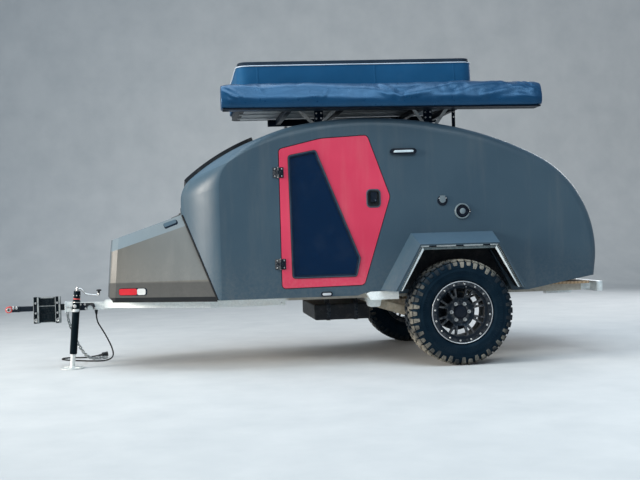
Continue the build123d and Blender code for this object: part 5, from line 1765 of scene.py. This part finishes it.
def make_arches():
    """Edge beads, ribbed and slotted guard strips and the dark lining of the wheel arches."""
    beads, bright, dull, ribs, slots, lining = (bmesh.new() for _ in range(6))
    outer = [(-494.8, 592), (-310.4, 942.8), (310.4, 942.8), (494.8, 592)]
    for side in (-1, 1):
        side_bead(beads, [Vector(p) for p in ((-512, 591), (-313.5, 943.5), (313.5, 943.5), (512, 591))],
                  side * 1046, 4.5, False)
        side_bead(beads, [Vector(p) for p in ((-497, 591), (-311, 943), (311, 943), (497, 591))],
                  side * 1033, 3.5, False)
        y0, y1 = side * 1026, side * 1030.5
        edge = [(-473, 592), (-293, 925.5), (293, 925.5), (473, 592)]
        inner = [(-463, 592), (-286, 904), (286, 904), (463, 592)]
        for one, other in ((0, 1), (2, 3)):
            a, b, c, d = outer[one], outer[other], edge[other], edge[one]
            prism(dull, [a, b, c, d], y0, y1 - side * 1.0)
            prism(bright, [edge[one], edge[other], inner[other], inner[one]], y0, y1 + side * 1.0)
            for i in range(26):
                u = (i + 0.5) / 26
                p = Vector(a).lerp(Vector(b), u)
                q = Vector(d).lerp(Vector(c), u)
                tube_ring(ribs, [mm(p.x, y1, p.y), mm(q.x, y1, q.y)], 0.0022, 6, False, (0, 1, 0))
        gap, start = 30, -310
        for centre in (-215, 0, 215, 340):
            stop = min(centre - gap, 310)
            prism(bright, [(start, 926), (start, 942.6), (stop, 942.6), (stop, 926)], y0, y1 + side * 1.0)
            start = centre + gap
            if centre < 310:
                prism(slots, [(stop, 927), (stop, 941.6), (start, 941.6), (start, 927)], y0,
                      y1 + side * 0.4)
        prism(dull, [outer[1], outer[2], edge[2], edge[1]], y0, y0 + side * 1.2)
        prism(dull, [edge[1], edge[2], inner[2], inner[1]], y0, y1)
        shape = [(-508, 590), (-305, 909), (305, 909), (508, 590)]
        rows = [[lining.verts.new(mm(x, side * y, z)) for x, z in shape] for y in (1022, 747)]
        rings_to_faces(lining, rows, False)
        lining.faces.new(rows[1])
    soften(bright, 1.0)
    piece("arch_beads", beads, "trailer", "seal_rubber", "seal_rubber", sharp=60)
    piece("guard_bright", bright, "trailer", "galvanised", "galvanised", stands_for=("arch_guards",))
    piece("guard_slots", slots, "trailer", "gloss_black", "gloss_black")
    piece("guard_dull", dull, "trailer", "guard_steel", "galvanised", stands_for=("arch_guards",))
    piece("guard_ribs", ribs, "trailer", "worn_steel", "galvanised", sharp=60)
    piece("arch_lining", lining, "trailer", "black_plastic", "black_plastic")


make_doors()
make_side_fittings()
make_nose_details()
make_arches()


# Insides: linings, bed and galley


WELL_INNER_Y, WELL_HALF_LENGTH, WELL_TOP_Z = 0.733, 0.53, 0.93
INNER_WALL_Y, FLOOR_TOP_Z = 0.7728, 0.57


def skin(name, node, body, look, wanted, lift=1.0):
    """Lining made of the faces of a CAD node that are wanted(centre, normal), lifted off it in mm."""
    bm = bmesh.new()
    bm.from_mesh(nodes[node].data)
    bmesh.ops.triangulate(bm, faces=bm.faces)
    bmesh.ops.remove_doubles(bm, verts=bm.verts, dist=1e-5)
    bm.normal_update()
    bmesh.ops.delete(bm, geom=[f for f in bm.faces if not wanted(f.calc_center_median(), f.normal)],
                     context="FACES")
    bm.normal_update()
    shifts = []
    for v in bm.verts:
        total = Vector((0, 0, 0))
        for f in v.link_faces:
            total += f.normal * f.calc_area()
        shifts.append(total.normalized() * (lift / 1000))
    for v, shift in zip(bm.verts, shifts):
        v.co += shift
    mesh = bpy.data.meshes.new(name)
    bm.to_mesh(mesh)
    bm.free()
    mesh.materials.append(mats[look])
    mesh.shade_smooth()
    mesh.set_sharp_from_angle(angle=math.radians(30))
    return place(bpy.data.objects.new(name, mesh), body)


def line_cabin():
    """Linings of cabin, hatch, nose lid and doors."""
    shell = surface_of("cabin_shell")

    def inner_wall(centre, normal):
        beside_well = abs(centre.y) > WELL_INNER_Y and abs(centre.x - AXLE_X) < WELL_HALF_LENGTH
        in_well = beside_well and centre.z < WELL_TOP_Z
        if abs(centre.y) > INNER_WALL_Y or in_well or centre.z < FLOOR_TOP_Z:
            return False
        return shell.ray_cast(centre + normal * 0.01, normal)[0] is not None

    skin("cabin_lining", "cabin_shell", "trailer", "liner", inner_wall)

    def facing(origin, limit):
        def test(centre, normal):
            inward = origin - centre
            return inward.normalized().dot(normal) > limit
        return test

    skin("hatch_lining", "rear_hatch", "hatch_body", "liner", facing(mm(300, 0, 1150), 0.45))
    skin("nose_lining", "nose_lid", "nose_body", "black_plastic", facing(mm(-2300, 0, 640), 0.30),
         0.6)
    for name, side in (("left", -1), ("right", 1)):
        body = nodes["door_" + name]["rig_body"]
        skin(
            "door_lining_" + name, "door_" + name, body, "liner",
            lambda centre, normal: normal.y * side < -0.9 and abs(centre.y) < 0.79,
        )


MATTRESS_LOW, MATTRESS_HIGH = (-1470, -713, 609), (390, 713, 724)
CLOTH_STEPS = 20
MOST_SWELL = 0.012


def make_mattress():
    """Foam bed in a cloth cover: swollen by air pressure, then tufted and piped."""
    low, high = MATTRESS_LOW, MATTRESS_HIGH
    bm = bmesh.new()
    outline = rounded_line([(low[0], low[1]), (low[0], high[1]), (high[0], high[1]), (high[0], low[1])],
                           [70] * 4, 8)
    rows = [[bm.verts.new(mm(x, y, z)) for x, y in outline] for z in (low[2], high[2])]
    capped(bm, rows)
    soften(bm, 22, 3, 60)
    mesh = bpy.data.meshes.new("mattress_pad")
    bmesh.ops.recalc_face_normals(bm, faces=bm.faces)
    bm.to_mesh(mesh)
    bm.free()
    pad = bpy.data.objects.new("mattress_pad", mesh)
    scene.collection.objects.link(pad)
    bpy.context.view_layer.objects.active = pad
    pad.data.remesh_voxel_size = 0.016
    pad.select_set(True)
    bpy.ops.object.voxel_remesh()
    rest = [v.co.copy() for v in pad.data.vertices]
    cloth = pad.modifiers.new("cloth", "CLOTH")
    cloth.settings.use_pressure = True
    cloth.settings.uniform_pressure_force = 4
    cloth.settings.quality = 4
    cloth.settings.mass = 0.3
    cloth.settings.effector_weights.gravity = 0
    cloth.point_cache.frame_start, cloth.point_cache.frame_end = 1, CLOTH_STEPS
    for step in range(1, CLOTH_STEPS + 1):
        scene.frame_set(step)
    graph = bpy.context.evaluated_depsgraph_get()
    swollen = [v.co.copy() for v in pad.evaluated_get(graph).data.vertices]
    pad.modifiers.clear()
    scene.frame_set(1)
    for v, old, new in zip(pad.data.vertices, rest, swollen):
        move = new - old
        if move.length > MOST_SWELL:
            move *= MOST_SWELL / move.length
        v.co = old + move
    tufts = [(x, y) for x in (-1230, -850, -470, -90, 250) for y in (-480, -160, 160, 480)]
    for v in pad.data.vertices:
        x, y, z = (v.co.x - AXLE_X) * 1000, v.co.y * 1000, v.co.z * 1000
        if z > 690:
            near = min(math.hypot(x - a, y - b) for a, b in tufts)
            z -= 15 * math.exp(-(near / 34) ** 2) + 5 * math.exp(-(near / 120) ** 2)
            z += 2.5 * noise.noise(Vector((x / 160, y / 160, 3)))
        x = min(404, max(-1484, x))
        y = min(728, max(-728, y))
        v.co = mm(x, y, min(742, max(608.6, z)))
    mesh = pad.data
    mesh.materials.append(mats["mattress_cloth"])
    mesh.shade_smooth()
    place(pad, "trailer", "mattress_cloth", ("mattress",))

    solid = bmesh.new()
    solid.from_mesh(mesh)
    cover = BVHTree.FromBMesh(solid)
    solid.free()
    piping = bmesh.new()
    middle = mm(-540, 0, 0)
    ring = rounded_line([(-1500, -745), (-1500, 745), (420, 745), (420, -745)], [90] * 4, 10)
    dense = []
    for (xa, ya), (xb, yb) in zip(ring, ring[1:] + ring[:1]):
        steps = max(1, int(math.hypot(xb - xa, yb - ya) / 45))
        dense += [(xa + (xb - xa) * i / steps, ya + (yb - ya) * i / steps) for i in range(steps)]
    for z in (634, 706):
        points = []
        for x, y in dense:
            start = mm(x, y, z)
            inward = (middle + Vector((0, 0, start.z)) - start).normalized()
            hit = cover.ray_cast(start + inward * -0.02, inward)[0]
            points.append(hit if hit else start)
        tube_ring(piping, points, 0.0042, 8)
    for x, y in tufts:
        hit = cover.ray_cast(mm(x, y, 800), Vector((0, 0, -1)))[0]
        dome_head(piping, hit - Vector((0, 0, 0.001)), 0.011, 0.006, (0, 0, 1))
    piece("mattress_piping", piping, "trailer", "cover_fabric", "cover_fabric", sharp=60, weld=True)


def make_galley():
    """Cabinet and bulkhead with rounded edges, rails before the bays and the basin's cover."""
    refined("galley_cabinet", "plywood", 2.5)
    refined("galley_bulkhead", "plywood", 2)
    bright = bmesh.new()
    for y in (-451, 0, 451):
        for z in (642, 790):
            points = [mm(1026, y - 190 + i * 38, z) for i in range(11)]
            tube_ring(bright, points, 0.005, 10, False)
            for dy in (-170, 0, 170):
                tube_ring(bright, [mm(1006, y + dy, z), mm(1026, y + dy, z)], 0.004, 8, False)
    piece("galley_rails", bright, "trailer", "aluminium", sharp=40)
    sink = bmesh.new()
    outline = rounded_line([(560, -260), (560, 60), (860, 60), (860, -260)], [40] * 4, 6)
    inner = rounded_line([(572, -248), (572, 48), (848, 48), (848, -248)], [34] * 4, 6)
    rows = [[sink.verts.new(mm(x, y, z)) for x, y in line]
            for line, z in ((outline, 930.3), (outline, 932.5), (inner, 932.5), (inner, 931))]
    rings_to_faces(sink, rows)
    sink.faces.new(rows[-1])
    piece("galley_basin_cover", sink, "trailer", "bright_steel", sharp=40, weld=True)


line_cabin()
make_mattress()
make_galley()


# Roof glass, solar panel and rear


def make_roof_pieces():
    """Frame of the solar panel, and the screws of panel and skylight."""
    frame_bars, screws = bmesh.new(), bmesh.new()
    for x0, x1, y0, y1 in ((-882, -870, -482, 482), (-410, -398, -482, 482), (-870, -410, -482, -470),
                           (-870, -410, 470, 482)):
        block(frame_bars, x0, x1, y0, y1, 1963, 1992)
    soften(frame_bars, 1.2)
    for x in (-876, -404):
        for y in (-420, 420):
            dome_head(screws, mm(x, y, 1992), 0.0045, 0.0022, (0, 0, 1), 0.4)
    piece("solar_frame", frame_bars, "trailer", "aluminium")
    panel = surface_of("skylight_frame")
    for y in (-486, -300, -100, 100, 300, 486):
        for x, z in ((-2068, 1400), (-1590, 1900)):
            hit, normal, _, _ = panel.ray_cast(mm(x - 300, y, z + 300), Vector((0.72, 0, -0.69)))
            if hit:
                dome_head(screws, hit, 0.0050, 0.0020, normal, 0.4)
    piece("roof_screws", screws, "trailer", "bright_steel", sharp=35)


def make_rear():
    """Bumper with rounded edges, tail lamp rims and lights, hinge screws and the hatch lock."""
    refined("rear_bumper", "galvanised", 3)
    black, bright = bmesh.new(), bmesh.new()
    for y in (-620, 620):
        for i in range(5):
            lathe(bright, [(0.0, 0.0022), (0.0035, 0.0018), (0.0046, 0.0), (0.0, 0.0)],
                  mm(1296, y - 48 + 24 * i, 560), (1, 0, 0), 16, False)
        rows = []
        for grow, x in ((3, 1282), (3, 1291), (0.5, 1297.5), (-2.5, 1297.5), (-3.5, 1294)):
            row = []
            for j in range(48):
                a = 2 * math.pi * j / 48
                dy = (50 if math.cos(a) > 0 else -50) + (25 + grow) * math.cos(a)
                row.append(black.verts.new(mm(x, y + dy, 560 + (25 + grow) * math.sin(a))))
            rows.append(row)
        rings_to_faces(black, rows)
    piece("tail_lamp_rims", black, "trailer", "gloss_black", "gloss_black", sharp=35, weld=True)
    piece("tail_lamp_leds", bright, "trailer", "white_lens", sharp=35, weld=True)
    screws, lock = bmesh.new(), bmesh.new()
    hatch = surface_of("rear_hatch")
    for y in (-420, 420):
        for dy in (-26, 26):
            for t in (0.25, 0.8):
                start = mm(498 - 60 * t - 10, y + dy, 2100)
                hit = surface_of("hinge_leaves").ray_cast(start, Vector((0, 0, -1)))
                if hit[0]:
                    dome_head(screws, hit[0], 0.0055, 0.003, hit[1], 0.4)
    piece("hatch_hinge_screws", screws, "trailer", "bright_steel", sharp=35)
    hit = hatch.ray_cast(mm(1500, 0, 905), Vector((-1, 0, 0)))
    if hit[0]:
        lathe(lock, [(0.0, 0.004), (0.006, 0.004), (0.0065, 0.006), (0.012, 0.006), (0.014, 0.0),
                     (0.0, -0.002)],
              hit[0], hit[1], 28, False)
    piece("hatch_lock", lock, "hatch_body", "bright_steel", sharp=35)


def make_underside():
    """Straps round the water tank, and cross members with rounded edges."""
    straps = bmesh.new()
    for x in (-955, -725):
        for y in (-423, 421):
            block(straps, x - 16, x + 16, y, y + 2, 352, 476)
        block(straps, x - 16, x + 16, -423, 423, 336.5, 338.8)
    soften(straps, 0.7)
    piece("tank_straps", straps, "trailer", "black_steel", "black_steel")
    refined("cross_members", "galvanised", 2)


make_roof_pieces()
make_rear()
make_underside()
